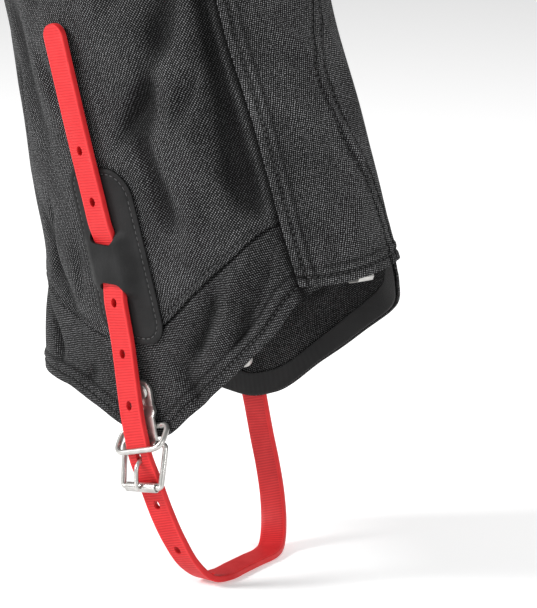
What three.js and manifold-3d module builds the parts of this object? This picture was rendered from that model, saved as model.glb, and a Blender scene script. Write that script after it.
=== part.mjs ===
// A right-leg hiking gaiter, shaped as it sits on a boot and lower leg.
// Millimetres, +X towards the toes, +Y towards the other leg, +Z up. The origin is the middle of the instep
// strap's upper face, where the boot's arch rests on it. The outer side of the leg is therefore -Y.
import * as THREE from "three";
import { mergeVertices } from "three/addons/utils/BufferGeometryUtils.js";
import Module from "manifold-3d";

// ---------------------------------------------------------------- driving dimensions
const topHeight = 480; // top edge above the boot's arch
const fabricThickness = 1.0;
const layerGap = 0.4; // air between layers that are sewn or laid on each other
const seamGap = 0.4; // air between panels that meet edge to edge

// The leg and boot that the fabric wraps: height, middle, half depth front to back, half width.
const legSections = [
  [60, -6.7, 100.2, 44.5],
  [97, -7.2, 100.4, 46],
  [121, -9.2, 98, 47.5],
  [145, -14.6, 92, 49.5],
  [168, -20.4, 89.9, 52],
  [192, -25.6, 88, 54.8],
  [216, -31, 85.6, 57.2],
  [260, -42.7, 81.2, 60.6],
  [300, -51.5, 80.1, 63.2],
  [360, -63, 79, 65.6],
  [420, -73.5, 76, 65.8],
  [490, -83.5, 70.5, 62.5],
];

// Height of the lower edge by angle round the leg: 0 at the front, positive towards the outer side.
const hemHeights = [
  [-180, 84.5],
  [-135, 82],
  [-120, 77],
  [-108, 69.5],
  [-100, 67.5],
  [-92, 71],
  [-76, 91],
  [-60, 109],
  [-38, 129],
  [-28, 140],
  [-19, 150],
  [0, 153],
  [20, 151],
  [43, 141],
  [62, 118],
  [76, 97],
  [86, 81],
  [94, 69.5],
  [100, 67.5],
  [108, 70.5],
  [120, 77.5],
  [135, 83],
  [180, 84.5],
];

// Height of the seam between the shaft and ankle panels, the same on both sides.
const yokeHeights = [
  [0, 181],
  [30, 179],
  [50, 170],
  [65, 155],
  [80, 138],
  [95, 119],
  [107, 111],
  [125, 116],
  [150, 128],
  [180, 136],
];

// Front closure.
const hingeSide = 16; // y of the seam that the storm flap swings on
const underlapSide = 9; // y that the outer panels reach under the flap
const flapFreeAngle = 44; // angle of the flap's free edge
const flapBottoms = [152, 145.5]; // at its seam and at its free corner
const flapTop = topHeight - 2;
const flapThickness = 1.0;
const tapeThickness = 0.9; // each of the hook tape and the loop tape
const tapeAngles = [6, 34];
const tapeBottom = 184;
const tapeTop = topHeight - 14;
const seamTapeWidth = 8;
const seamTapeThickness = 0.9;

// Height of one row of facets: on the shaft, on the closure that lies close to it, and on the rear tape.
const shaftRow = 31;
const closureRow = 23.5;
const rearTapeRow = 26.5;

// Instep strap.
const strapWidth = 12.5;
const strapThickness = 3;
const strapHoleWidth = 2.9;
const strapHoleLength = 4.7;
const strapHolePitch = 24;
const strapHoleCount = 10;
const strapTailHeight = 258; // where its free end lies on the shaft

// Strap patch: a leaning rounded panel with two slots and a bridge between them.
const patchHeights = [112, 193];
const patchHalfWidth = 18.5;
const patchCorner = 12;
const patchThickness = 1.15;
const patchMiddle = -37; // x of its centre line at patchLeanHeight
const patchLeanHeight = 152;
const patchLean = -0.2;
const bridgeHeights = [140, 158];
const slotHeight = 8.5;
const bridgeSlack = 0.7; // extra air between the strap and the bridge

// Roller buckle.
const barHeight = 65.5;
const barMiddle = -22.5;
const buckleTilt = THREE.MathUtils.degToRad(7);
const wireRadius = 1.2;
const wireClearance = 0.3;
const legSlack = 3.6; // each side, between the strap and a leg of the frame
const frameReach = 19; // drop from the heel bar to the roller
const rollerRadius = 2.3;
const frameStandOff = strapThickness + rollerRadius + 1.2; // how far the roller stands out from the heel bar
const rollerSpan = strapWidth + 2 * (wireRadius + legSlack); // between the legs' middles at the roller
const barSpan = rollerSpan + 2; // between the legs' middles at the heel bar
const rollerLength = rollerSpan - 2 * wireRadius - 2.4;
const ringWire = 1.15;
const ringSlack = 6.3; // each side, between the strap and the keeper ring
const ringSpan = strapWidth + 2 * (ringWire + ringSlack);
const ringTilt = THREE.MathUtils.degToRad(8); // its front end stands higher
const ringDroop = THREE.MathUtils.degToRad(42); // it hangs forwards and down from behind the chape
const ringRise = 5.2; // from the heel bar
const chapeThickness = 1.6;
const chapeStandOff = 2 * ringWire + layerGap + 0.3; // from the fabric to the back of its lower leaf
const barOffset = chapeStandOff + chapeThickness / 2; // from the fabric to the heel bar's middle
const chapeRivetRise = 24; // from the heel bar to the rivet
const prongWidth = 2;
const prongEyeRadius = wireRadius + wireClearance + 1.3;
const prongCrossing = 58.6; // height at which the prong passes through the strap

// Rivets and burrs.
const chapeRivet = { head: 3.6, headHeight: 1.2, shank: 1.6, burr: 3.4 };
const anchorRivet = { head: 4.6, headHeight: 1.4, shank: 2.3, burr: 4.6 };
const hookRivet = { head: 2.4, headHeight: 0.7, shank: 1.2, burr: 2.4 };
const burrThickness = 0.7;
const rivetClearance = 0.35;
const peenHeight = 0.5;

// Lace hook.
const hookAngle = 14;
const hookWidth = 8;
const hookThickness = 1.2;
const hookTop = 174;
const hookBottom = 146;
const hookDepth = 7.8; // inside the bend, front to back
const hookTip = 9.5; // height of the inner leg

// Top cinch.
const channelHeight = 28;
const facingThickness = 0.8;
const webbingWidth = 16;
const webbingThickness = 1.2;
const webbingHeight = topHeight - channelHeight / 2;
const buckleAngle = 92;
const buckleHalfLength = 11;
const cheekThickness = 1.8;
const webbingSlack = 1.7; // each side, between the webbing and a cheek
const buckleHalfWidth = webbingWidth / 2 + webbingSlack + cheekThickness;
const cheekHeight = 10.9;
const webbingInBuckle = 5; // its middle, above the fabric
const tabThickness = 0.5;
const tabWidth = webbingWidth - 2;
const camPinRadius = 1.2;
const camPin = { along: 1.5, out: 8.8 };

// Sewn pieces inside or under the fabric.
const hemFacingHeight = 11;
const facingTapeThickness = 0.7;
const rearTapeWidth = 14;
const anchorPatchHalf = 13;
const anchorPatchHeights = [70, 100];
const anchorThickness = 1;
const anchorCorner = 6;
const anchorSlack = 0.6; // extra air under the strap's fixed end, which crosses the patch's curve
const underAnchor = layerGap + anchorThickness + anchorSlack; // from the fabric to the back of that end

// ---------------------------------------------------------------- small geometry tools
const wasm = await Module();
wasm.setup();

const V = (x, y, z) => new THREE.Vector3(x, y, z);
const mix = (a, b, t) => a + (b - a) * t;
const { degToRad, radToDeg, smoothstep } = THREE.MathUtils;
const range = (count) => Array.from({ length: count + 1 }, (_, i) => i / count);

// A smooth function through table rows [x, value, value ...]. It returns the values at x.
function through(rows) {
  const rise = (i, k) => (rows[i + 1][k] - rows[i][k]) / (rows[i + 1][0] - rows[i][0]);
  // A harmonic mean of the slopes on both sides never overshoots the rows.
  const slope = (i, k) => {
    const before = rise(Math.max(i - 1, 0), k);
    const after = rise(Math.min(i, rows.length - 2), k);
    return before * after > 0 ? (2 * before * after) / (before + after) : 0;
  };
  return (x) => {
    let i = rows.findIndex((row) => row[0] > x) - 1;
    if (i < 0) i = x < rows[0][0] ? 0 : rows.length - 2;
    const [a, b] = [rows[i], rows[i + 1]];
    const step = b[0] - a[0];
    const t = THREE.MathUtils.clamp((x - a[0]) / step, 0, 1);
    const [t2, t3] = [t * t, t * t * t];
    return a.slice(1).map((from, k) => {
      const leave = (t3 - 2 * t2 + t) * step * slope(i, k + 1);
      const arrive = (t3 - t2) * step * slope(i + 1, k + 1);
      return from + (3 * t2 - 2 * t3) * (b[k + 1] - from) + leave + arrive;
    });
  };
}

// A closed solid between two grids of points, front[i][j] and back[i][j].
function slab(front, back) {
  const [columns, rows] = [front.length, front[0].length];
  const points = [...front.flat(), ...back.flat()];
  const at = (side, i, j) => side * columns * rows + i * rows + j;
  const index = [];
  const quad = (a, b, c, d) => index.push(a, b, c, a, c, d);
  for (let i = 0; i + 1 < columns; i++) {
    for (let j = 0; j + 1 < rows; j++) {
      quad(at(0, i, j), at(0, i + 1, j), at(0, i + 1, j + 1), at(0, i, j + 1));
      quad(at(1, i, j), at(1, i, j + 1), at(1, i + 1, j + 1), at(1, i + 1, j));
    }
    quad(at(0, i, 0), at(1, i, 0), at(1, i + 1, 0), at(0, i + 1, 0));
    quad(at(0, i, rows - 1), at(0, i + 1, rows - 1), at(1, i + 1, rows - 1), at(1, i, rows - 1));
  }
  for (let j = 0; j + 1 < rows; j++) {
    quad(at(0, 0, j), at(0, 0, j + 1), at(1, 0, j + 1), at(1, 0, j));
    quad(at(0, columns - 1, j), at(1, columns - 1, j), at(1, columns - 1, j + 1), at(0, columns - 1, j + 1));
  }
  return facingOut(new THREE.BufferGeometry().setFromPoints(points).setIndex(index));
}

// Turns a closed indexed geometry round if its faces point inwards.
function facingOut(geometry) {
  const position = geometry.getAttribute("position");
  const corner = (i) => V().fromBufferAttribute(position, geometry.index.getX(i));
  let volume = 0;
  for (let i = 0; i < geometry.index.count; i += 3) {
    volume += corner(i).dot(corner(i + 1).cross(corner(i + 2)));
  }
  if (volume < 0) geometry.setIndex([...geometry.index.array].reverse());
  return geometry;
}

// The geometry's merged triangles as a solid that can be joined and cut.
function solid(geometry) {
  const bare = new THREE.BufferGeometry().setAttribute("position", geometry.getAttribute("position").clone());
  bare.setIndex(geometry.index);
  const merged = mergeVertices(bare, 1e-4);
  return new wasm.Manifold(
    new wasm.Mesh({
      numProp: 3,
      vertProperties: new Float32Array(merged.getAttribute("position").array),
      triVerts: new Uint32Array(merged.index.array),
    }),
  );
}

function geometryOf(made) {
  const mesh = made.getMesh();
  const geometry = new THREE.BufferGeometry();
  geometry.setAttribute("position", new THREE.BufferAttribute(new Float32Array(mesh.vertProperties), 3));
  return geometry.setIndex(new THREE.BufferAttribute(new Uint32Array(mesh.triVerts), 1));
}

const cut = (geometry, ...tools) =>
  geometryOf(tools.reduce((left, tool) => left.subtract(solid(tool)), solid(geometry)));
const join = (geometry, ...more) =>
  geometryOf(more.reduce((sum, other) => sum.add(solid(other)), solid(geometry)));
const box = (x0, x1, y0, y1, z0, z1) =>
  new THREE.BoxGeometry(x1 - x0, y1 - y0, z1 - z0).translate((x0 + x1) / 2, (y0 + y1) / 2, (z0 + z1) / 2);

// A matrix that carries local axes to the given world axes at an origin.
const placed = (x, y, z, origin) => new THREE.Matrix4().makeBasis(x, y, z).setPosition(origin);

// A cylinder along +Z from low to high.
const rod = (radius, low, high, sides = 20) =>
  new THREE.CylinderGeometry(radius, radius, high - low, sides)
    .rotateX(Math.PI / 2)
    .translate(0, 0, (low + high) / 2);

// ---------------------------------------------------------------- the form the fabric follows
const legAt = through(legSections);
const hemAt = (angle) => through(hemHeights)(angle)[0];
const yokeAt = (angle) => through(yokeHeights)(Math.abs(angle))[0];

// A point of the fabric's outer surface. Angles past 180 wrap round the back.
function surface(angle, height) {
  const [middle, depth, width] = legAt(height);
  const turn = degToRad(angle);
  return V(middle + depth * Math.cos(turn), -width * Math.sin(turn), height);
}

function outward(angle, height) {
  const across = surface(angle + 0.5, height).sub(surface(angle - 0.5, height));
  const along = surface(angle, height + 1).sub(surface(angle, height - 1));
  return along.cross(across).normalize();
}

const skin = (angle, height, offset) =>
  surface(angle, height).addScaledVector(outward(angle, height), offset);

// The angle of a side-view position x on the outer half, and of a front-view position y at the front.
function angleOfX(x, height) {
  const [middle, depth] = legAt(height);
  return radToDeg(Math.acos((x - middle) / depth));
}

function angleOfY(y, height) {
  return -radToDeg(Math.asin(y / legAt(height)[2]));
}

// Angles at which a seam lies clear of its neighbour at the middle of the back.
const rearEdge = (height) => 180 - radToDeg(seamGap / 2 / legAt(height)[2]);

// A piece of fabric that spans angles from(height) to to(height) and heights bottom(angle) to top(angle).
// It fills the space between the offsets low and high, raised by lift at a share of the way across.
function fabric({ from, to, bottom, top, low, high, columns, rows, lift = () => 0 }) {
  const grid = (offset) =>
    range(columns).map((u) =>
      range(rows).map((v) => {
        let [angle, height] = [mix(from(topHeight / 2), to(topHeight / 2), u), 0];
        for (let i = 0; i < 6; i++) {
          height = mix(bottom(angle), top(angle), v);
          angle = mix(from(height), to(height), u);
        }
        return skin(angle, height, offset + lift(u, v));
      }),
    );
  return slab(grid(high), grid(low));
}

// ---------------------------------------------------------------- materials
const finish = (color, roughness, metalness = 0) =>
  new THREE.MeshStandardMaterial({ color, roughness, metalness });
const packcloth = finish(0x26272a, 0.75);
const flapCloth = finish(0x2c2d30, 0.75);
const coatedPatch = finish(0x333538, 0.55);
const tapeBlack = finish(0x1b1b1d, 0.9);
const strapRed = finish(0xe8353b, 0.4);
const steel = finish(0xc9c9c6, 0.3, 1);
const plastic = finish(0x1d1d1f, 0.45);

const gaiter = new THREE.Group();
function add(name, geometry, material, parent = gaiter) {
  const mesh = new THREE.Mesh(geometry, material);
  mesh.name = name;
  parent.add(mesh);
  return mesh;
}

// ---------------------------------------------------------------- rivets, set along the local +Z axis
// A rivet whose head sits at headBase and whose peened end holds a burr behind the fabric.
function rivet({ head, headHeight, shank, burr }, headBase, burrFront) {
  const end = burrFront - burrThickness - layerGap / 2;
  const profile = [
    [0, headBase + headHeight],
    [head * 0.55, headBase + headHeight * 0.85],
    [head * 0.9, headBase + headHeight * 0.45],
    [head, headBase],
    [shank, headBase],
    [shank, end],
    [shank * 1.35, end],
    [shank * 1.1, end - peenHeight],
    [0, end - peenHeight],
  ].map(([r, z]) => new THREE.Vector2(r, z));
  const turned = new THREE.LatheGeometry(profile.reverse(), 18).rotateX(Math.PI / 2);
  const ring = [
    [shank + rivetClearance, burrFront - burrThickness],
    [burr, burrFront - burrThickness],
    [burr, burrFront],
    [shank + rivetClearance, burrFront],
    [shank + rivetClearance, burrFront - burrThickness],
  ].map(([r, z]) => new THREE.Vector2(r, z));
  return { rivet: turned, burr: new THREE.LatheGeometry(ring, 18).rotateX(Math.PI / 2) };
}

const rivetHole = ({ shank }, matrix) => rod(shank + rivetClearance, -12, 12, 18).applyMatrix4(matrix);

// Local axes on the fabric at an angle and height: x forwards along the leg, y up, z outwards.
function patchFrame(angle, height) {
  const out = outward(angle, height);
  const up = V(0, 0, 1).addScaledVector(out, -out.z).normalize();
  return placed(V().crossVectors(up, out), up, out, surface(angle, height));
}

// ---------------------------------------------------------------- where the fasteners go
const chapeFrame = (() => {
  const lean = Math.sin(buckleTilt);
  const height = barHeight + chapeRivetRise * Math.cos(buckleTilt);
  const x = barMiddle - chapeRivetRise * lean;
  return { height, x, matrix: patchFrame(angleOfX(x, height), height) };
})();
const anchorHeight = 86;
const anchorX = -27;
const anchorFrame = patchFrame(-angleOfX(anchorX, anchorHeight), anchorHeight);
const hookMiddle = (hookTop + hookBottom) / 2;
const hookFrame = patchFrame(hookAngle, hookMiddle).multiply(new THREE.Matrix4().makeTranslation(0, 0, 0.2));
const hookRivetRise = hookTop - 5 - hookMiddle;
const hookRivetFrame = hookFrame.clone().multiply(new THREE.Matrix4().makeTranslation(0, hookRivetRise, 0));

// ---------------------------------------------------------------- fabric shell
const webbingSlot = fabric({
  from: () => 122,
  to: () => 103,
  bottom: () => webbingHeight - webbingWidth / 2 - 1,
  top: () => webbingHeight + webbingWidth / 2 + 1,
  low: -3,
  high: 2,
  columns: 3,
  rows: 1,
});

const seamAngle = (y) => (height) => angleOfY(y, height);
const shaftBottom = (angle) => yokeAt(angle) + seamGap / 2;
const ankleTop = (angle) => yokeAt(angle) - seamGap / 2;
const shell = { low: -fabricThickness, high: 0 };
const shaftRows = Math.round((topHeight - yokeAt(180)) / shaftRow);

function shellPanels() {
  const outerShaft = fabric({
    ...shell,
    from: rearEdge,
    to: seamAngle(underlapSide),
    bottom: shaftBottom,
    top: () => topHeight,
    columns: 28,
    rows: shaftRows,
  });
  const innerShaft = fabric({
    ...shell,
    from: (height) => -rearEdge(height),
    to: seamAngle(underlapSide + seamGap),
    bottom: shaftBottom,
    top: () => topHeight,
    columns: 25,
    rows: shaftRows,
  });
  const outerAnkle = fabric({
    ...shell,
    from: rearEdge,
    to: seamAngle(underlapSide),
    bottom: hemAt,
    top: ankleTop,
    columns: 28,
    rows: 4,
  });
  const innerAnkle = fabric({
    ...shell,
    from: (height) => -rearEdge(height),
    to: seamAngle(underlapSide + seamGap),
    bottom: hemAt,
    top: ankleTop,
    columns: 25,
    rows: 4,
  });
  add("outer_shaft_panel", cut(outerShaft, webbingSlot), packcloth);
  add("inner_shaft_panel", innerShaft, packcloth);
  add(
    "outer_ankle_panel",
    cut(outerAnkle, rivetHole(chapeRivet, chapeFrame.matrix), rivetHole(hookRivet, hookRivetFrame)),
    packcloth,
  );
  add("inner_ankle_panel", cut(innerAnkle, rivetHole(anchorRivet, anchorFrame)), packcloth);
}

// Tapes inside the shell: the folded hem's facing on each side, and the bound seam up the back.
function innerTapes() {
  const high = -fabricThickness - layerGap;
  const inside = { high, low: high - facingTapeThickness };
  const hem = { bottom: (a) => hemAt(a) + 0.5, top: (a) => hemAt(a) + 0.5 + hemFacingHeight, rows: 1 };
  const clearOfTape = (height) => radToDeg((rearTapeWidth / 2 + 1) / legAt(height)[2]);
  add(
    "outer_hem_facing",
    fabric({ ...inside, ...hem, from: (h) => 180 - clearOfTape(h), to: () => 22, columns: 28 }),
    tapeBlack,
  );
  const innerSides = { from: (h) => clearOfTape(h) - 180, to: seamAngle(hingeSide + 1) };
  add("inner_hem_facing", fabric({ ...inside, ...hem, ...innerSides, columns: 26 }), tapeBlack);
  add(
    "rear_seam_tape",
    fabric({
      ...inside,
      from: (h) => 180 - radToDeg(rearTapeWidth / 2 / legAt(h)[2]),
      to: (h) => 180 + radToDeg(rearTapeWidth / 2 / legAt(h)[2]),
      bottom: () => hemAt(180) + 1,
      top: () => topHeight - channelHeight - 1,
      columns: 3,
      rows: Math.round((topHeight - channelHeight - hemAt(180)) / rearTapeRow),
    }),
    tapeBlack,
  );
}

// ---------------------------------------------------------------- front closure
function frontClosure() {
  const hookLow = layerGap;
  const loopLow = hookLow + tapeThickness + layerGap;
  const flapLow = loopLow + tapeThickness + layerGap;
  const tape = {
    from: () => tapeAngles[1],
    to: () => tapeAngles[0],
    bottom: () => tapeBottom,
    top: () => tapeTop,
    columns: 5,
    rows: Math.round((tapeTop - tapeBottom) / closureRow),
  };
  const flapRows = Math.round((flapTop - flapBottoms[1]) / closureRow);
  add("hook_tape", fabric({ ...tape, low: hookLow, high: hookLow + tapeThickness }), tapeBlack);
  add("loop_tape", fabric({ ...tape, low: loopLow, high: loopLow + tapeThickness }), tapeBlack);
  const flapBottom = (angle) =>
    mix(...flapBottoms, smoothstep(angle, angleOfY(hingeSide, flapBottoms[0]), flapFreeAngle));
  // The flap leaves its seam close to the shell, rises over the tapes and comes down at its free edge.
  const flapLift = (u) => -(flapLow - layerGap) * (1 - smoothstep(u, 0, 0.16)) - 0.9 * smoothstep(u, 0.9, 1);
  add(
    "storm_flap",
    fabric({
      from: seamAngle(hingeSide - 0.6),
      to: () => flapFreeAngle,
      bottom: flapBottom,
      top: () => flapTop,
      low: flapLow,
      high: flapLow + flapThickness,
      columns: 14,
      rows: flapRows,
      lift: flapLift,
    }),
    flapCloth,
  );
  add(
    "flap_seam_tape",
    fabric({
      from: seamAngle(hingeSide + seamTapeWidth),
      to: seamAngle(hingeSide + 0.3),
      bottom: () => flapBottoms[0] + 0.5,
      top: () => flapTop,
      low: layerGap,
      high: layerGap + seamTapeThickness,
      columns: 2,
      rows: flapRows,
    }),
    flapCloth,
  );
}

// ---------------------------------------------------------------- instep strap
// Side-view position of the strap's centre line by height, and how far it stands off the fabric.
const strapLine = through([
  [60, -22],
  [80, -27],
  [104, -32.5],
  [140, -38],
  [160, -41],
  [200, -49],
  [strapTailHeight, -61],
]);
const overPatch = layerGap + patchThickness + layerGap + strapThickness / 2;
const underBridge = layerGap + 0.3 + strapThickness / 2;
const overBar = barOffset + prongEyeRadius + 0.2 + strapThickness / 2;
const strapStandOff = through([
  [60, overBar],
  [72, overBar - 0.4],
  [83, overBar - 1.4],
  [92, overBar - 2.7],
  [102, 4.3],
  [112, overPatch + 0.1],
  [bridgeHeights[0] - slotHeight, overPatch],
  [bridgeHeights[0] - 1, underBridge],
  [bridgeHeights[1] + 1, underBridge],
  [bridgeHeights[1] + slotHeight, overPatch],
  [strapTailHeight, overPatch],
]);
const strapX = (height) => strapLine(height)[0];

// Stations along the strap's centre line, each with its outward normal: from the rivet on the inner side,
// under the arch and up the outer side to the free end. Below the fabric the route is the boot's, so it is a
// list.
function strapStations() {
  const half = -strapThickness / 2;
  const inner = [100, 92, 84, 76].map((height) => {
    const angle = -angleOfX(anchorX + (anchorHeight - height) * 0.12, height);
    const offset = underAnchor + strapThickness / 2;
    return [skin(angle, height, offset), outward(angle, height)];
  });
  const route = [
    [-22.5, 46.8, 62, 0, 1, 0],
    [-19.5, 46.8, 48, 0, 1, -0.05],
    [-15.5, 45.8, 34, 0, 1, -0.15],
    [-11, 42.8, 20, 0, 1, -0.4],
    [-6.5, 37, 7.5, 0, 0.75, -0.75],
    [-2.5, 28.5, -0.3, 0, 0.25, -1],
    [0, 19, half, 0, 0, -1],
    [0, 7, half, 0, 0, -1],
    [0, -7, half, 0, 0, -1],
    [0, -19, half, 0, 0, -1],
    [-2.5, -28.5, -0.3, 0, -0.25, -1],
    [-6.5, -37, 7.5, 0, -0.75, -0.75],
    [-11, -42.8, 20, 0, -1, -0.4],
    [-15.2, -46.4, 33, 0, -1, -0.2],
    [-18.8, -49.4, 46.5, 0, -1, -0.2],
  ].map(([x, y, z, a, b, c]) => [V(x, y, z), V(a, b, c).normalize()]);
  const byBuckle = [60, 68, 76, 84, 92, 102, 112, 122, 131];
  const throughPatch = [135.5, 139, 149, 159, 162.5, 167, 180, 200];
  const tail = [(2 * 200 + strapTailHeight) / 3, (200 + 2 * strapTailHeight) / 3, strapTailHeight];
  const outer = [...byBuckle, ...throughPatch, ...tail].map((height) => {
    const angle = angleOfX(strapX(height), height);
    return [skin(angle, height, strapStandOff(height)[0]), outward(angle, height)];
  });
  return [...inner, ...route, ...outer];
}

const strapCurves = (() => {
  const stations = strapStations();
  const smooth = (k) => new THREE.CatmullRomCurve3(stations.map((row) => row[k]), false, "centripetal");
  const [points, normals] = [smooth(0), smooth(1)];
  points.arcLengthDivisions = 800;
  return { points, normals };
})();

// Centre, tangent, outward normal and width direction at a share of the strap's stations.
function strapAt(t) {
  const tangent = strapCurves.points.getTangent(t);
  const normal = strapCurves.normals.getPoint(t);
  normal.addScaledVector(tangent, -normal.dot(tangent)).normalize();
  return { centre: strapCurves.points.getPoint(t), tangent, normal, side: V().crossVectors(tangent, normal) };
}

function instepStrap() {
  const { points } = strapCurves;
  const length = points.getLength();
  const at = (distance) => strapAt(points.getUtoTmapping(0, distance));
  const end = strapWidth / 2;
  const rounding = [0.3, 1.6, 3.6];
  const prongDistance = distanceAtHeight(points, length, prongCrossing);
  const bridgeDistance = distanceAtHeight(points, length, (bridgeHeights[0] + bridgeHeights[1]) / 2);
  const middle = [end];
  while (middle.at(-1) < length - end - 4) {
    const here = middle.at(-1);
    const fine = Math.abs(Math.abs(here - bridgeDistance) - 13) < 7 || Math.abs(here - prongDistance) < 16;
    middle.push(here + (fine ? 2.4 : 8));
  }
  const distances = [...rounding, ...middle, ...[...rounding, end].map((d) => length - d).reverse()];
  const halfWidth = (d) => {
    const fromEnd = Math.min(d, length - d, end);
    return Math.sqrt(end * end - (end - fromEnd) ** 2);
  };
  const grid = (offset) =>
    [-1, 1].map((sign) =>
      distances.map((d) => {
        const { centre, normal, side } = at(d);
        return centre.addScaledVector(normal, offset).addScaledVector(side, sign * halfWidth(d));
      }),
    );
  const body = slab(grid(strapThickness / 2), grid(-strapThickness / 2));
  const slot = new THREE.Shape();
  const straight = (strapHoleLength - strapHoleWidth) / 2;
  slot.absarc(0, straight, strapHoleWidth / 2, 0, Math.PI);
  slot.absarc(0, -straight, strapHoleWidth / 2, Math.PI, 2 * Math.PI);
  const holes = range(strapHoleCount - 1).map((_, i) => {
    const { centre, tangent, normal, side } = at(prongDistance + (i - 3) * strapHolePitch);
    return new THREE.ExtrudeGeometry(slot, { depth: 8, bevelEnabled: false, curveSegments: 5 })
      .translate(0, 0, -4)
      .applyMatrix4(placed(side, tangent, normal, centre));
  });
  add("instep_strap", cut(body, ...holes, rivetHole(anchorRivet, anchorFrame)), strapRed);
}

// Distance along the strap at which its outer stretch passes a height.
function distanceAtHeight(points, length, height) {
  let [low, high] = [length / 2, length];
  while (high - low > 0.01) {
    const middle = (low + high) / 2;
    if (points.getPointAt(middle / length).z < height) low = middle;
    else high = middle;
  }
  return low;
}

// ---------------------------------------------------------------- strap patch with its slots and bridge
function strapPatch() {
  const [low, high] = patchHeights;
  const rounded = [0, 0.134, 0.5, 1].map((d) => d * patchCorner);
  const flank = [9, 6.5, 4.8, 3.3, 2, 0];
  const inside = [
    ...flank.map((d) => bridgeHeights[0] - d),
    (bridgeHeights[0] + bridgeHeights[1]) / 2,
    ...flank.map((d) => bridgeHeights[1] + d).reverse(),
    174,
  ];
  const heights = [...rounded.map((d) => low + d), ...inside, ...rounded.map((d) => high - d).reverse()];
  const halfWidth = (height) => {
    const fromEnd = Math.min(height - low, high - height, patchCorner);
    return patchHalfWidth - patchCorner + Math.sqrt(patchCorner ** 2 - (patchCorner - fromEnd) ** 2);
  };
  const middleAt = (height) => patchMiddle + patchLean * (height - patchLeanHeight);
  const strapShare = (strapX(patchLeanHeight) - middleAt(patchLeanHeight)) / patchHalfWidth;
  const besideStrap = [-13.2, -10, -7.8, 0, 7.8, 10, 13.2].map((x) => strapShare + x / patchHalfWidth);
  const shares = [-1, ...besideStrap, 0.8, 1];
  const bulge = strapThickness + layerGap + bridgeSlack;
  const rise = (height, x) => {
    const along =
      smoothstep(height, bridgeHeights[0] - 6.5, bridgeHeights[0] - 2) *
      (1 - smoothstep(height, bridgeHeights[1] + 2, bridgeHeights[1] + 6.5));
    const across = 1 - smoothstep(Math.abs(x - strapX(height)), strapWidth / 2 + 1.1, strapWidth / 2 + 7);
    return bulge * along * across;
  };
  const grid = (offset) =>
    shares.map((share) =>
      heights.map((height) => {
        const x = middleAt(height) + share * halfWidth(height);
        return skin(angleOfX(x, height), height, offset + rise(height, x));
      }),
    );
  const sheet = slab(grid(layerGap + patchThickness), grid(layerGap));
  const opening = (height) => {
    const angle = angleOfX(strapX(height), height);
    const half = strapWidth / 2 + 1;
    const shape = new THREE.Shape();
    shape.absarc(half - slotHeight / 2, 0, slotHeight / 2, -Math.PI / 2, Math.PI / 2);
    shape.absarc(slotHeight / 2 - half, 0, slotHeight / 2, Math.PI / 2, (3 * Math.PI) / 2);
    return new THREE.ExtrudeGeometry(shape, { depth: 16, bevelEnabled: false, curveSegments: 6 })
      .translate(0, 0, -4)
      .applyMatrix4(patchFrame(angle, height));
  };
  const upper = opening(bridgeHeights[1] + slotHeight / 2);
  const lower = opening(bridgeHeights[0] - slotHeight / 2);
  add("strap_patch", cut(sheet, upper, lower), coatedPatch);
}

// ---------------------------------------------------------------- roller buckle on the outer side

// Local axes of the buckle, from the bar's middle: x along the heel bar, y towards the leg, z up.
const buckleGroup = new THREE.Group();
const buckleMatrix = (() => {
  const onFabric = surface(angleOfX(barMiddle, barHeight), barHeight);
  const up = V().setFromMatrixPosition(chapeFrame.matrix).sub(onFabric).normalize();
  const inward = outward(angleOfX(barMiddle, barHeight), barHeight).negate();
  inward.addScaledVector(up, -inward.dot(up)).normalize();
  return placed(V().crossVectors(inward, up), inward, up, onFabric.addScaledVector(inward, -barOffset));
})();
buckleGroup.applyMatrix4(buckleMatrix);
gaiter.add(buckleGroup);

// The direction from the heel bar to the roller, in the buckle's own y-z plane.
const frameTilt = Math.atan2(frameStandOff, frameReach);
const frameLength = Math.hypot(frameStandOff, frameReach);

// A closed path with rounded corners: corners are [x, y, radius] in a plane.
function roundedLoop(corners) {
  const path = new THREE.CurvePath();
  const vectors = corners.map(([x, y]) => V(x, y, 0));
  const trimmed = corners.map(([, , radius], i) => {
    const here = vectors[i];
    const before = vectors.at(i - 1).clone().sub(here).normalize();
    const after = vectors[(i + 1) % corners.length].clone().sub(here).normalize();
    const reach = radius / Math.tan(before.angleTo(after) / 2);
    return [here.clone().addScaledVector(before, reach), here, here.clone().addScaledVector(after, reach)];
  });
  trimmed.forEach(([start, corner, finish], i) => {
    path.add(new THREE.QuadraticBezierCurve3(start, corner, finish));
    path.add(new THREE.LineCurve3(finish, trimmed[(i + 1) % trimmed.length][0]));
  });
  return path;
}

// A round wire bent along a closed path in the local x-y plane, with the plane turned by a matrix.
function wireLoop(path, radius, matrix) {
  const rings = [];
  const sides = 10;
  const count = 5;
  path.curves.forEach((curve, i) => {
    const steps = i % 2 ? 1 : count;
    for (let k = 0; k < steps; k++) {
      const centre = curve.getPoint(k / steps);
      const tangent = i % 2 && k === 0 ? curve.getTangent(0.5) : curve.getTangent(k / steps);
      const side = V(-tangent.y, tangent.x, 0).normalize();
      const around = range(sides).slice(0, -1).map((t) => {
        const [aside, up] = [radius * Math.cos(t * 2 * Math.PI), radius * Math.sin(t * 2 * Math.PI)];
        return centre.clone().addScaledVector(side, aside).add(V(0, 0, up));
      });
      rings.push(around);
    }
  });
  const index = [];
  rings.forEach((_, r) => {
    const next = (r + 1) % rings.length;
    for (let s = 0; s < sides; s++) {
      const t = (s + 1) % sides;
      index.push(r * sides + s, next * sides + s, next * sides + t);
      index.push(r * sides + s, next * sides + t, r * sides + t);
    }
  });
  const loop = new THREE.BufferGeometry().setFromPoints(rings.flat()).setIndex(index);
  return facingOut(loop).applyMatrix4(matrix);
}

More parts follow.
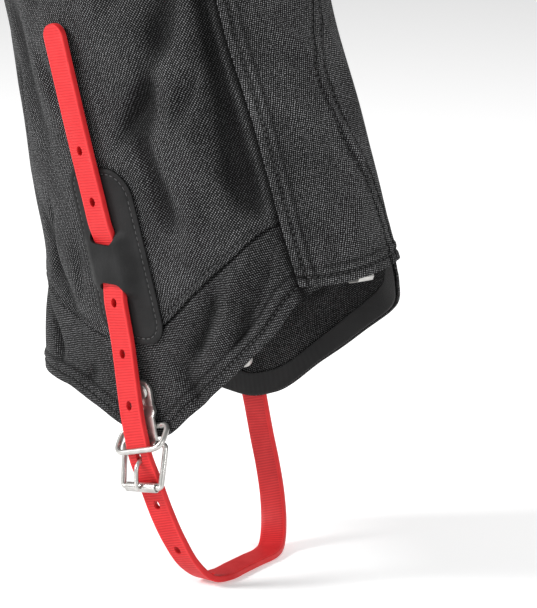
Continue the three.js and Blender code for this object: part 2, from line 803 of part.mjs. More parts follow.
function buckle() {
  // The frame's plane holds local x and the direction to the roller.
  const down = V(0, -Math.sin(frameTilt), -Math.cos(frameTilt));
  const framePlane = placed(V(1, 0, 0), down, V(1, 0, 0).cross(down), V(0, 0, 0));
  const frameLoop = roundedLoop([
    [-barSpan / 2, 0, 2.6],
    [barSpan / 2, 0, 2.6],
    [rollerSpan / 2, frameLength, 2.2],
    [-rollerSpan / 2, frameLength, 2.2],
  ]);
  add("buckle_frame", wireLoop(frameLoop, wireRadius, framePlane), steel, buckleGroup);

  const rollerRing = [
    [wireRadius + wireClearance, -rollerLength / 2],
    [rollerRadius, -rollerLength / 2],
    [rollerRadius, rollerLength / 2],
    [wireRadius + wireClearance, rollerLength / 2],
    [wireRadius + wireClearance, -rollerLength / 2],
  ].map(([r, z]) => new THREE.Vector2(r, z));
  const roller = new THREE.LatheGeometry(rollerRing, 24).rotateZ(Math.PI / 2);
  const rollerCentre = down.clone().multiplyScalar(frameLength);
  add("buckle_roller", roller.translate(...rollerCentre), steel, buckleGroup);

  // The prong: an eye on the heel bar, and an arm that passes through the strap's hole and over the roller.
  const profile = through([
    [0, 1.2, -1.8],
    [1, 1.5, -4.6],
    [2, 3.3, -6.5],
    [3, 5.9, -7],
    [4, 8.3, -9],
    [5, 9.7, -13.6],
    [6, 10.2, -19.3],
  ]);
  const half = prongWidth / 2 - 0.1;
  const middle = range(12).map((t) => V(0, ...profile(t * 6)));
  const edge = (sign) =>
    middle.map((p, i) => {
      const before = middle[Math.max(i - 1, 0)];
      const after = middle[Math.min(i + 1, middle.length - 1)];
      const run = after.clone().sub(before).normalize();
      return new THREE.Vector2(p.y - sign * half * run.z, p.z + sign * half * run.y);
    });
  const arm = new THREE.Shape([...edge(1), ...edge(-1).reverse()]);
  const armSolid = new THREE.ExtrudeGeometry(arm, { depth: prongWidth, bevelEnabled: false });
  const eye = rod(prongEyeRadius, 0, prongWidth, 20);
  const bore = rod(wireRadius + wireClearance, -1, prongWidth + 1, 20);
  // The shape's plane, outwards and up, stands across the heel bar.
  const standing = placed(V(0, -1, 0), V(0, 0, 1), V(-1, 0, 0), V(prongWidth / 2, 0, 0));
  add("buckle_prong", cut(join(armSolid, eye), bore).applyMatrix4(standing), steel, buckleGroup);

  // The chape: a leaf riveted to the fabric, stepped out to a knuckle that is notched for the prong.
  const leaf = chapeThickness / 2;
  const step = barOffset - layerGap - leaf;
  const side = new THREE.Shape([
    [-leaf, 0],
    [-leaf, 13],
    [step - leaf, 17.5],
    [step - leaf, chapeRivetRise + 6],
    [step + leaf, chapeRivetRise + 6],
    [step + leaf, 16.8],
    [leaf, 12.3],
    [leaf, 0],
  ].map(([y, z]) => new THREE.Vector2(y, z)));
  const widest = 14;
  const strip = new THREE.ExtrudeGeometry(side, { depth: widest, bevelEnabled: false })
    .translate(0, 0, -widest / 2)
    .applyMatrix4(placed(V(0, 1, 0), V(0, 0, 1), V(1, 0, 0), V(0, 0, 0)));
  const knuckleBore = wireRadius + wireClearance;
  const knuckle = rod(knuckleBore + 0.8, -widest / 2, widest / 2, 20).rotateY(Math.PI / 2);
  const outline = new THREE.Shape();
  const narrow = 5.2;
  outline.moveTo(-widest / 2, -4).lineTo(widest / 2, -4).lineTo(widest / 2, 15).lineTo(narrow, 18);
  outline.lineTo(narrow, chapeRivetRise).absarc(0, chapeRivetRise, narrow, 0, Math.PI);
  outline.lineTo(-narrow, 18).lineTo(-widest / 2, 15);
  const cookie = { depth: 20, bevelEnabled: false, curveSegments: 8 };
  const outlineSolid = new THREE.ExtrudeGeometry(outline, cookie).translate(0, 0, -10).rotateX(Math.PI / 2);
  const notch = box(-prongWidth / 2 - 0.6, prongWidth / 2 + 0.6, -4, 4, -4, 3.6);
  const leafSolid = geometryOf(solid(join(strip, knuckle)).intersect(solid(outlineSolid)));
  const toBuckle = buckleMatrix.clone().invert();
  add(
    "chape",
    cut(
      leafSolid,
      rod(knuckleBore, -12, 12, 20).rotateY(Math.PI / 2),
      notch,
      rivetHole(chapeRivet, chapeFrame.matrix).applyMatrix4(toBuckle),
    ),
    steel,
    buckleGroup,
  );

  // The keeper ring hangs round the strap and the chape, from behind the chape down to the heel bar's height.
  const behindChape = chapeThickness / 2 + layerGap + ringWire;
  const beforeStrap = strapStandOff(70)[0] - barOffset + strapThickness / 2 + layerGap + ringWire + 0.3;
  const back = behindChape / Math.cos(ringDroop);
  const front = -beforeStrap / Math.cos(ringDroop);
  const ringLoop = roundedLoop([
    [-ringSpan / 2, front, 5.5],
    [ringSpan / 2, front, 5.5],
    [ringSpan / 2, back, 4.5],
    [-ringSpan / 2, back, 4.5],
  ]);
  const ringPlane = new THREE.Matrix4()
    .makeRotationY(-ringTilt)
    .multiply(new THREE.Matrix4().makeRotationX(ringDroop))
    .setPosition(0, 0, ringRise);
  add("keeper_ring", wireLoop(ringLoop, ringWire, ringPlane), steel, buckleGroup);
}

// ---------------------------------------------------------------- rivets through the fabric
function rivets() {
  const inside = -fabricThickness - layerGap;
  const sets = [
    ["chape", chapeRivet, chapeFrame.matrix, layerGap + chapeThickness + 0.3, inside],
    ["anchor", anchorRivet, anchorFrame, underAnchor + strapThickness + 0.3, inside],
    ["lace_hook", hookRivet, hookRivetFrame, layerGap + hookThickness + 0.3, inside - 0.2],
  ];
  sets.forEach(([name, size, matrix, headBase, burrFront]) => {
    const made = rivet(size, headBase, burrFront);
    add(`${name}_rivet`, made.rivet.applyMatrix4(matrix), steel);
    add(`${name}_burr`, made.burr.applyMatrix4(matrix), steel);
  });
}

// ---------------------------------------------------------------- anchor patch on the inner side
function anchorPatch() {
  const [low, high] = anchorPatchHeights;
  const rounded = [0, 0.134, 0.5, 1].map((d) => d * anchorCorner);
  const upper = rounded.map((d) => high - d).reverse();
  const heights = [...rounded.map((d) => low + d), (low + high) / 2, ...upper];
  const halfWidth = (height) => {
    const fromEnd = Math.min(height - low, high - height, anchorCorner);
    return anchorPatchHalf - anchorCorner + Math.sqrt(anchorCorner ** 2 - (anchorCorner - fromEnd) ** 2);
  };
  const grid = (offset) =>
    range(6).map((t) =>
      heights.map((height) => {
        const x = anchorX + 1 + (2 * t - 1) * halfWidth(height);
        return skin(-angleOfX(x, height), height, offset);
      }),
    );
  const sheet = slab(grid(layerGap + anchorThickness), grid(layerGap));
  add("anchor_patch", cut(sheet, rivetHole(anchorRivet, anchorFrame)), coatedPatch);
}

// ---------------------------------------------------------------- lace hook under the flap
function laceHook() {
  // The bent strip's side view: outwards to the right, heights measured from its middle.
  const low = hookBottom - hookMiddle;
  const high = hookTop - hookMiddle;
  const outer = layerGap + hookThickness;
  const inner = layerGap - hookDepth;
  const side = new THREE.Shape([
    [outer, high],
    [outer, low + 1.5],
    [outer - 1.5, low],
    [inner + 0.5, low],
    [inner - hookThickness, low + 1.7],
    [inner - hookThickness, low + hookTip],
    [inner, low + hookTip],
    [inner, low + 1.9],
    [inner + 0.7, low + hookThickness],
    [layerGap - 0.7, low + hookThickness],
    [layerGap, low + 1.9],
    [layerGap, high],
  ].map(([out, up]) => new THREE.Vector2(out, up)));
  const strip = new THREE.ExtrudeGeometry(side, { depth: hookWidth, bevelEnabled: false })
    .translate(0, 0, -hookWidth / 2)
    .applyMatrix4(placed(V(0, 0, 1), V(0, 1, 0), V(-1, 0, 0), V(0, 0, 0)))
    .applyMatrix4(hookFrame);
  add("lace_hook", cut(strip, rivetHole(hookRivet, hookRivetFrame)), steel);
}

// ---------------------------------------------------------------- top channel, webbing and cam buckle
function topCinch() {
  const webbingMiddle = -fabricThickness - layerGap - webbingThickness / 2;
  const facingHigh = webbingMiddle - webbingThickness / 2 - layerGap;
  add(
    "top_channel_facing",
    fabric({
      from: () => -21,
      to: () => -352,
      bottom: () => topHeight - channelHeight,
      top: () => topHeight - 0.6,
      low: facingHigh - facingThickness,
      high: facingHigh,
      columns: 54,
      rows: 1,
    }),
    tapeBlack,
  );

  // The webbing lies in the channel round the back, comes out through its slot and runs forwards.
  const tail = layerGap + 2 * (tabThickness + layerGap) + webbingThickness / 2;
  const offset = through([
    [-304, tail],
    [-287, tail],
    [-279, webbingInBuckle],
    [-257, webbingInBuckle],
    [-252.5, webbingThickness],
    [-248, -fabricThickness / 2],
    [-242, webbingMiddle],
    [-235, webbingMiddle],
    [-24, webbingMiddle],
  ]);
  const angles = [];
  for (let angle = -24; angle > -235; angle -= 7) angles.push(angle);
  for (let angle = -236; angle >= -304; angle -= 2.6) angles.push(angle);
  const [halfWidth, halfThickness] = [webbingWidth / 2, webbingThickness / 2];
  const grid = (shift) =>
    angles.map((angle) =>
      [-1, 1].map((sign) =>
        skin(angle, webbingHeight + sign * halfWidth, offset(angle)[0] + shift * halfThickness),
      ),
    );
  add("cinch_webbing", slab(grid(1), grid(-1)), tapeBlack);
  camBuckle();
}

// The cam buckle, in local axes: x forwards round the leg, y up, z outwards.
function camBuckle() {
  const group = new THREE.Group();
  group.applyMatrix4(patchFrame(buckleAngle, webbingHeight));
  gaiter.add(group);
  const baseLow = 1.2;
  const baseHigh = 2.5;
  const anvil = webbingInBuckle - webbingThickness / 2 - layerGap - 0.3;
  const { along, out } = camPin;
  const wide = buckleHalfWidth;
  const long = buckleHalfLength;
  const opening = buckleHalfWidth - cheekThickness;
  const barWidth = 2.2;
  const cheekOutline = new THREE.Shape();
  cheekOutline.moveTo(-long, baseLow).lineTo(long, baseLow).lineTo(long, baseHigh + 0.6);
  cheekOutline.lineTo(along + 4.4, cheekHeight - 1.4).lineTo(along + 2.6, cheekHeight);
  cheekOutline.lineTo(along - 3, cheekHeight).lineTo(-long, baseHigh + 1.6);
  const cheek = (y) =>
    new THREE.ExtrudeGeometry(cheekOutline, { depth: cheekThickness, bevelEnabled: false })
      .applyMatrix4(placed(V(1, 0, 0), V(0, 0, 1), V(0, -1, 0), V(0, y + cheekThickness, 0)));
  const body = join(
    box(-long, long, -wide, wide, baseLow, baseHigh),
    cheek(opening),
    cheek(-wide),
    box(-long + 5, 5.2, -opening, opening, baseHigh - 0.5, anvil),
  );
  const acrossAtPin = (geometry) => geometry.rotateX(Math.PI / 2).translate(along, 0, out);
  const pinBore = acrossAtPin(rod(camPinRadius + wireClearance, -20, 20, 18));
  const tabHalf = tabWidth / 2 + 1;
  const tabSlot = box(long - barWidth - 2.6, long - barWidth, -tabHalf, tabHalf, 0, 9);
  add("cam_buckle_body", cut(body, pinBore, tabSlot), plastic, group);

  const pin = acrossAtPin(rod(camPinRadius, -wide, wide, 18));
  add("cam_pin", pin, steel, group);

  // The lever turns on the pin; its nose presses the webbing when its arm lies forwards.
  const reach = out - webbingInBuckle - webbingThickness / 2 - 0.35;
  const lever = new THREE.Shape();
  // The cam's radius grows towards the nose, which points at the webbing when the lever is shut.
  range(10).forEach((t) => {
    const turn = Math.PI * mix(0.62, 1.5, t);
    const radius = mix(reach - 0.7, reach, t);
    lever[t ? "lineTo" : "moveTo"](radius * Math.cos(turn), radius * Math.sin(turn));
  });
  lever.lineTo(1.2, -reach + 0.5).lineTo(3.6, 0.1).lineTo(15.5, -0.7).lineTo(16.6, 0.4).lineTo(16, 1.5);
  lever.lineTo(3.5, 2.6);
  const leverHalf = opening - wireClearance;
  const leverSolid = new THREE.ExtrudeGeometry(lever, { depth: 2 * leverHalf, bevelEnabled: false })
    .applyMatrix4(placed(V(1, 0, 0), V(0, 0, 1), V(0, -1, 0), V(along, leverHalf, out)));
  add("cam_lever", cut(leverSolid, pinBore), plastic, group);

  // The tab: webbing folded round the buckle's front bar, with both leaves sewn down in front of it.
  const slotMiddle = long - barWidth - 1.3;
  const low = layerGap + tabThickness / 2;
  const high = low + tabThickness + layerGap / 2;
  const over = 3.85;
  const line = [
    [slotMiddle + 19, low],
    [slotMiddle + 12, low],
    [slotMiddle + 5, low],
    [slotMiddle, low],
    [slotMiddle, over],
    [slotMiddle + 5.6, over],
    [slotMiddle + 9.6, high],
    [slotMiddle + 14, high],
    [slotMiddle + 18, high],
  ].map(([x, z]) => new THREE.Vector2(x, z));
  const side = (sign) =>
    line.map((point, i) => {
      const before = point.clone().sub(line[Math.max(i - 1, 0)]).normalize();
      const after = line[Math.min(i + 1, line.length - 1)].clone().sub(point).normalize();
      const run = before.lengthSq() && after.lengthSq() ? before.add(after).normalize() : before.add(after);
      const widen = tabThickness / 2 / Math.max(Math.abs(run.dot(after.lengthSq() ? after : run)), 0.7);
      const edge = point.clone().add(new THREE.Vector2(-run.y, run.x).multiplyScalar(sign * widen));
      return [-1, 1].map((end) => roundLeg(edge.x, (end * tabWidth) / 2, edge.y));
    });
  add("cam_buckle_tab", slab(side(1), side(-1)), tapeBlack);
}

// A point at a distance forwards round the leg and upwards from the cam buckle's middle.
function roundLeg(forwards, up, offset) {
  const middle = surface(buckleAngle, webbingHeight);
  const perDegree = surface(buckleAngle - 1, webbingHeight).distanceTo(middle);
  return skin(angleOfX(middle.x, webbingHeight + up) - forwards / perDegree, webbingHeight + up, offset);
}

shellPanels();
innerTapes();
frontClosure();
instepStrap();
strapPatch();
buckle();
rivets();
anchorPatch();
laceHook();
topCinch();

export default gaiter;
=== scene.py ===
import math
import bpy
import numpy as np
from mathutils import Matrix, Vector


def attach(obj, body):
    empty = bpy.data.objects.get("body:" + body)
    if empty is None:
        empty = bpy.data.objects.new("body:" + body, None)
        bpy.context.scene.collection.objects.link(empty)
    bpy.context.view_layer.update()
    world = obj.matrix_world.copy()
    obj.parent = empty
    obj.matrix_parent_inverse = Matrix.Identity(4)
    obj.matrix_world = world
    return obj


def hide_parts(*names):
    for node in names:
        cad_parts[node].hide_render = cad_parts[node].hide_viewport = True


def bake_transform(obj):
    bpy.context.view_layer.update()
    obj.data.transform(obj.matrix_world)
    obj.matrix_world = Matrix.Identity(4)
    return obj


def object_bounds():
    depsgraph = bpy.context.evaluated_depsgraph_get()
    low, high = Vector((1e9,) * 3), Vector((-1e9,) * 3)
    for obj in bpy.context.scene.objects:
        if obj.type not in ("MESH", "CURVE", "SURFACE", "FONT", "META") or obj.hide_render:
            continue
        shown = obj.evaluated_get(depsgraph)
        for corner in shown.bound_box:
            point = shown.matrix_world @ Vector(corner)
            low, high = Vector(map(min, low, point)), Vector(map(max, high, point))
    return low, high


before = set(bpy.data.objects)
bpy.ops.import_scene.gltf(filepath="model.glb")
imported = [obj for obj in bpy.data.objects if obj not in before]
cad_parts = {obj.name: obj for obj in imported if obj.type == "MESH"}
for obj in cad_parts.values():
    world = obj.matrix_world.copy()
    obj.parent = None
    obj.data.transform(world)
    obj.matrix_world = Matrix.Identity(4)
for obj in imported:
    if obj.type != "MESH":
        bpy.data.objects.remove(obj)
cad_low, cad_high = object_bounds()

# ------------------------------------------------------------------ floor, backdrop, light and camera
# A pale seamless floor in a white studio. The main softbox stands high at the left, so that dark cloth keeps
# its folds and steel its edges. Weaker ones fill in low from the front, from the toe side and from overhead.
MM = 0.001
aim = Vector((0.0136, 0, 0.126))
azimuth, elevation, distance = math.radians(32), math.radians(13), 1.4
scene = bpy.context.scene
scene.view_settings.view_transform = "Standard"

bpy.ops.object.select_all(action="DESELECT")
bpy.ops.mesh.primitive_circle_add(vertices=96, radius=9, fill_type="NGON", location=(0, 0, cad_low.z - 0.0003))
floor = bpy.context.object
floor.name = "floor"
pale = bpy.data.materials.new("pale floor")
pale.use_nodes = True
pale.node_tree.nodes["Principled BSDF"].inputs["Base Color"].default_value = (0.86, 0.86, 0.86, 1)
pale.node_tree.nodes["Principled BSDF"].inputs["Roughness"].default_value = 0.85
pale.node_tree.nodes["Principled BSDF"].inputs["Emission Color"].default_value = (1, 1, 1, 1)
pale.node_tree.nodes["Principled BSDF"].inputs["Emission Strength"].default_value = 0.3
floor.data.materials.append(pale)

world = bpy.data.worlds.new("studio")
world.use_nodes = True
studio_nodes, studio_links = world.node_tree.nodes, world.node_tree.links
seen, dim, white = (
    studio_nodes.new("ShaderNodeLightPath"), studio_nodes["Background"],
    studio_nodes.new("ShaderNodeBackground"))
dim.inputs["Color"].default_value, dim.inputs["Strength"].default_value = (1, 1, 1, 1), 0.32
white.inputs["Color"].default_value, white.inputs["Strength"].default_value = (1, 1, 1, 1), 1.0
both = studio_nodes.new("ShaderNodeMixShader")
studio_links.new(seen.outputs["Is Camera Ray"], both.inputs[0])
studio_links.new(dim.outputs[0], both.inputs[1])
studio_links.new(white.outputs[0], both.inputs[2])
studio_links.new(both.outputs[0], studio_nodes["World Output"].inputs[0])
scene.world = world


def softbox(name, place, size, power):
    light = bpy.data.lights.new(name, "AREA")
    light.shape, light.size, light.size_y, light.energy = "RECTANGLE", size[0], size[1], power
    lamp = bpy.data.objects.new(name, light)
    scene.collection.objects.link(lamp)
    lamp.location = place
    lamp.rotation_mode = "QUATERNION"
    lamp.rotation_quaternion = (aim - lamp.location).to_track_quat("-Z", "Y")


softbox("key softbox", (-1.35, -1.15, 1.3), (0.45, 0.7), 48)
softbox("low front softbox", (-0.5, -1.7, 0.05), (0.7, 0.4), 9)
softbox("toe softbox", (1.8, -0.8, 0.8), (0.5, 0.9), 12)
softbox("overhead softbox", (0.2, 0.6, 1.9), (1.0, 1.0), 14)

camera = bpy.data.cameras.new("camera")
camera.lens, camera.sensor_width, camera.clip_start = 180, 36, 0.05
viewer = bpy.data.objects.new("camera", camera)
scene.collection.objects.link(viewer)
away = Vector((math.sin(azimuth) * math.cos(elevation), -math.cos(azimuth) * math.cos(elevation),
    math.sin(elevation)))
viewer.location = aim + away * distance
viewer.rotation_mode = "QUATERNION"
viewer.rotation_quaternion = away.to_track_quat("Z", "Y")
scene.camera = viewer

# ------------------------------------------------------------------ shaft and ankle panels
# The body of the gaiter is four panels of coated nylon packcloth: two shaft halves and, below a V-shaped seam,
# two ankle halves. They are cut to shape, sewn edge to edge and topstitched, and their lower edge is turned up.
FABRIC = 1.0 * MM
LAYER_GAP = 0.4 * MM
SEAM_GAP = 0.4 * MM
TOP = 480 * MM

# Leg and boot under the cloth, in millimetres: height, middle, half depth front to back, half width.
leg_sections = [
    (60, -6.7, 100.2, 44.5), (97, -7.2, 100.4, 46), (121, -9.2, 98, 47.5), (145, -14.6, 92, 49.5),
    (168, -20.4, 89.9, 52), (192, -25.6, 88, 54.8), (216, -31, 85.6, 57.2), (260, -42.7, 81.2, 60.6),
    (300, -51.5, 80.1, 63.2), (360, -63, 79, 65.6), (420, -73.5, 76, 65.8), (490, -83.5, 70.5, 62.5),
]
# Lower edge: angle round the leg, 0 at the front and positive to the outer side, and height.
hem_heights = [
    (-180, 84.5), (-135, 82), (-120, 77), (-108, 69.5), (-100, 67.5), (-92, 71), (-76, 91), (-60, 109),
    (-38, 129), (-28, 140), (-19, 150), (0, 153), (20, 151), (43, 141), (62, 118), (76, 97), (86, 81),
    (94, 69.5), (100, 67.5), (108, 70.5), (120, 77.5), (135, 83), (180, 84.5),
]
# Seam between shaft and ankle: angle to either side, and height.
yoke_heights = [
    (0, 181), (30, 179), (50, 170), (65, 155), (80, 138), (95, 119), (107, 111), (125, 116), (150, 128),
    (180, 136),
]


def through(rows):
    """A smooth curve through rows of a position and its values. It never overshoots them."""
    rows = np.array(rows, float)
    at, values = rows[:, 0], rows[:, 1:]
    rise = np.diff(values, axis=0) / np.diff(at)[:, None]
    before, after = np.vstack([rise[:1], rise]), np.vstack([rise, rise[-1:]])
    total = np.where(before * after > 0, before + after, 1)
    slopes = np.where(before * after > 0, 2 * before * after / total, 0)

    def curve(x):
        x = np.asarray(x, float)
        i = np.clip(np.searchsorted(at, x, side="right") - 1, 0, len(at) - 2)
        step = (at[i + 1] - at[i])[..., None]
        t = np.clip((x - at[i])[..., None] / step, 0, 1)
        near, far = 3 * t**2 - 2 * t**3, t**3 - t**2
        bend = slopes[i] * (far - t**2 + t) + slopes[i + 1] * far
        return values[i] + near * (values[i + 1] - values[i]) + step * bend

    return curve


def smoothstep(x, low, high):
    t = np.clip((x - low) / (high - low), 0, 1)
    return t * t * (3 - 2 * t)


leg_rows, hem_rows, yoke_rows = through(leg_sections), through(hem_heights), through(yoke_heights)


def leg_at(z):
    return np.moveaxis(leg_rows(np.asarray(z) / MM) * MM, -1, 0)


def hem_at(angle):
    return hem_rows(angle)[..., 0] * MM


def yoke_at(angle):
    return yoke_rows(np.abs(angle))[..., 0] * MM


def surface(angle, z):
    middle, depth, width = leg_at(z)
    turn = np.radians(angle)
    return np.stack([middle + depth * np.cos(turn), -width * np.sin(turn), z + 0 * turn], -1)


def unit(vectors):
    return vectors / np.linalg.norm(vectors, axis=-1, keepdims=True)


def outward(angle, z):
    across = surface(angle + 0.5, z) - surface(angle - 0.5, z)
    return unit(np.cross(surface(angle, z + MM) - surface(angle, z - MM), across))


def skin(angle, z, offset):
    return surface(angle, z) + outward(angle, z) * np.asarray(offset)[..., None]


def round_leg(angle, z):
    """Distance round the leg from its front line, along the cloth."""
    _, depth, width = leg_at(z)
    shares = (np.arange(24) + 0.5) / 24
    turns = np.radians(angle)[..., None] * shares
    run = np.hypot(depth[..., None] * np.sin(turns), width[..., None] * np.cos(turns))
    return np.radians(angle) * run.mean(-1)


def angle_of_x(x, z):
    middle, depth, _ = leg_at(z)
    return np.degrees(np.arccos(np.clip((x - middle) / depth, -1, 1)))


def angle_of_y(y, z):
    return -np.degrees(np.arcsin(y / leg_at(z)[2]))


# Where the strap and its patch lie on the outer side: height and side-view position of the centre line.
strap_rows = through([(60, -22), (80, -27), (104, -32.5), (140, -38), (160, -41), (200, -49), (258, -61)])


def strap_x(z):
    return strap_rows(np.asarray(z) / MM)[..., 0] * MM


# Folds: from angle and height, to angle and height, depth and half width in mm.
folds = [
    (60, 272, 84, 206, 2.1, 8), (84, 208, 80, 168, 1.7, 6), (72, 250, 66, 200, -1.3, 10),
    (50, 262, 56, 186, 1.9, 7), (56, 200, 52, 176, 1.3, 9), (70, 186, 78, 150, -1.0, 7),
    (71, 141, 86, 105, 1.9, 5), (56, 160, 80, 112, -1.7, 6), (60, 142, 72, 117, 1.3, 4),
    (92, 108, 82, 86, 1.2, 5), (56, 330, 72, 286, 1.9, 10), (120, 320, 108, 262, 1.6, 9),
    (80, 380, 98, 330, 1.7, 10), (134, 268, 128, 196, 1.4, 9), (150, 170, 128, 118, 1.4, 7),
    (165, 130, 140, 98, 1.2, 6), (140, 420, 150, 350, 1.7, 11), (160, 330, 152, 240, 1.8, 10),
    (60, 420, 66, 372, 1.4, 9), (-50, 330, -76, 262, 1.9, 10), (-60, 240, -92, 190, 1.8, 9),
    (-120, 300, -104, 236, 1.6, 9), (-140, 400, -150, 330, 1.7, 11), (-84, 410, -100, 348, 1.7, 10),
    (-160, 300, -150, 210, 1.8, 10), (-52, 168, -80, 116, 1.8, 7), (-130, 180, -118, 120, 1.4, 8),
    (-48, 420, -56, 366, 1.4, 9), (-168, 150, -140, 100, 1.2, 7),
    (49, 430, 49.5, 330, 1.3, 4), (49, 320, 49, 236, 1.6, 4), (49.5, 236, 50, 180, 1.7, 4),
    (58, 240, 70, 214, 1.2, 4),
    (64, 300, 84, 262, 1.3, 5), (76, 232, 92, 204, 1.1, 4), (118, 240, 108, 196, 1.3, 5),
    (142, 236, 150, 190, 1.2, 5),
    (112, 176, 122, 128, 1.3, 4), (134, 172, 140, 132, 1.1, 4), (110, 106, 124, 88, 1.0, 4),
    (146, 112, 140, 92, 1.1, 4),
    (52, 158, 60, 140, 1.1, 4), (-70, 190, -80, 150, 1.3, 5), (-110, 170, -100, 126, 1.3, 5),
]


def crease(round_at, z, start, end, half_width):
    """How deep a point lies in a fold that runs straight from start to end: 1 on its line and 0 beside it."""
    run = np.array(end) - np.array(start)
    length = np.hypot(*run)
    along = ((round_at - start[0]) * run[0] + (z - start[1]) * run[1]) / length**2
    aside = ((round_at - start[0]) * run[1] - (z - start[1]) * run[0]) / length
    ends = smoothstep(along, -0.25, 0.3) * (1 - smoothstep(along, 0.7, 1.25))
    return np.exp(-((aside / half_width) ** 2)) * ends


def drape(angle, z):
    """How far folds and slack move the cloth outwards. It dies away under whatever is sewn or buckled on."""
    round_at = round_leg(angle, z)
    moved = np.zeros_like(round_at)
    for a, low, b, high, depth, half_width in folds:
        start = (float(round_leg(np.array(a), np.array(low * MM))), low * MM)
        end = (float(round_leg(np.array(b), np.array(high * MM))), high * MM)
        moved -= 2.3 * depth * MM * crease(round_at, z, start, end, 0.85 * half_width * MM)
    slack = np.sin(round_at / 0.0125 + 9 * z / 0.1) + np.sin(z / 0.0145 - round_at / 0.019 + 1.3)
    slack += np.sin(round_at / 0.0082 - z / 0.021 + 0.4) * 0.6
    moved += 0.46 * MM * slack
    beside = np.abs(surface(angle, z)[..., 0] - strap_x(z))
    clear = smoothstep(beside, 19 * MM, 31 * MM)
    clear_above = smoothstep(beside, 9 * MM, 17 * MM)
    share = smoothstep(z, 192 * MM, 204 * MM)
    outer = np.where(angle > 0, clear * (1 - share) + clear_above * share, 1)
    outer = np.maximum(outer, smoothstep(z, 262 * MM, 274 * MM))
    front = np.where(angle > 0, smoothstep(angle, 37, 49), smoothstep(-angle, 27, 40))
    anchor = np.hypot(surface(angle, z)[..., 0] + 26 * MM, z - 85 * MM)
    inner = np.where(angle < 0, smoothstep(anchor, 24 * MM, 36 * MM), 1)
    top = 1 - smoothstep(z, 428 * MM, 446 * MM)
    return moved * outer * front * inner * top


def slope_factor(edge, angle, z):
    """Turns a height above a sloping edge into the distance from it along the cloth."""
    rise = edge(angle + 1) - edge(angle - 1)
    run = round_leg(angle + 1, z) - round_leg(angle - 1, z)
    return 1 / np.hypot(1, rise / run)


def bump_line(distance, place, half_width):
    return np.exp(-(((distance - place) / half_width) ** 2))


FLAP_FREE = 44
# Painted shade: how much darker the cloth's colour is made beside the flap's free edge, as a painted shadow, and
# in the valleys of its folds.
FLAP_SHADE = 0.9
FOLD_SHADE = 0.55
HEM_STITCH = 4.4 * MM
HEM_DEPTH = 9 * MM
YOKE_STITCH = 2.4 * MM


def shell_seams(angle, z):
    """Distances from the lower edge and the V seam, and how free the cloth is: 0 under sewn-on pieces."""
    from_hem = (z - hem_at(angle)) * slope_factor(hem_at, angle, z)
    from_yoke = (z - yoke_at(angle)) * slope_factor(yoke_at, angle, z)
    under_front = np.where(angle > 0, smoothstep(angle, 37, 49), smoothstep(-angle, 15, 18))
    place = surface(angle, z)[..., 0]
    beside = np.abs(place - strap_x(z))
    below_patch = smoothstep(beside, 10 * MM, 14 * MM)
    free = np.where(z > 104 * MM, smoothstep(beside, 20 * MM, 26 * MM), below_patch)
    anchor = smoothstep(np.hypot(place + 26 * MM, z - 85 * MM), 20 * MM, 26 * MM)
    return from_hem, from_yoke, under_front * np.where(angle > 0, free, anchor)


def shell_relief(angle, z):
    """Offset of the shell's outer face: drape, turned-up hem, lapped seam and the pull of the stitches."""
    from_hem, from_yoke, free = shell_seams(angle, z)
    along = round_leg(angle, z) + z
    pucker = np.sin(along / (1.15 * MM)) * 0.5 + np.sin(along / (2.6 * MM) + 1) * 0.5
    hem = 0.8 * (1 - smoothstep(from_hem, HEM_DEPTH - 1.6 * MM, HEM_DEPTH))
    hem += (0.3 * pucker * bump_line(from_hem, HEM_STITCH, 3.6 * MM)
            - 0.75 * bump_line(from_hem, HEM_STITCH, 0.8 * MM))
    lap = 0.2 * smoothstep(from_yoke, -0.1 * MM, 0.1 * MM) * (1 - smoothstep(from_yoke, 5 * MM, 7.5 * MM))
    lap += (0.2 * pucker * bump_line(from_yoke, YOKE_STITCH, 3 * MM)
            - 0.5 * bump_line(from_yoke, YOKE_STITCH, 0.7 * MM))
    return drape(angle, z) + (hem + lap) * MM * free


TUCK = 5 * MM


def tuck_top(angle):
    """Top edge of the ankle cloth, which is tucked behind the shaft except beside the rear binding."""
    return yoke_at(angle) - SEAM_GAP / 2 + TUCK * (1 - smoothstep(np.abs(angle), 168, 175))


def ankle_relief(angle, z):
    _, from_yoke, _ = shell_seams(angle, z)
    behind = smoothstep(from_yoke, -1.6 * MM, -0.1 * MM)
    return shell_relief(angle, z) * (1 - behind) + (drape(angle, z) - 1.35 * FABRIC) * behind


# Painted shade on the shell: dark lines along the hem and yoke stitch grooves and at the edges of the hem and the
# lapped seam, a painted shadow beside the flap's free edge, and darker fold valleys.
def shell_painted_shade(angle, z):
    from_hem, from_yoke, free = shell_seams(angle, z)
    hem = 0.8 * bump_line(from_hem, HEM_STITCH, 0.75 * MM) + 0.5 * bump_line(from_hem, HEM_DEPTH, 0.7 * MM)
    lap = 0.45 * bump_line(from_yoke, YOKE_STITCH, 0.6 * MM) + 0.35 * bump_line(from_yoke, 0, 0.9 * MM)
    beside_flap = round_leg(angle, z) - round_leg(FLAP_FREE + 0 * z, z)
    shaded = FLAP_SHADE * bump_line(beside_flap, -0.4 * MM, 2.4 * MM) * smoothstep(angle, 40, 43)
    valley_shade = FOLD_SHADE * smoothstep(-drape(angle, z), 0.6 * MM, 4.2 * MM)
    return np.clip((hem + lap) * free + shaded + valley_shade, 0, 1)


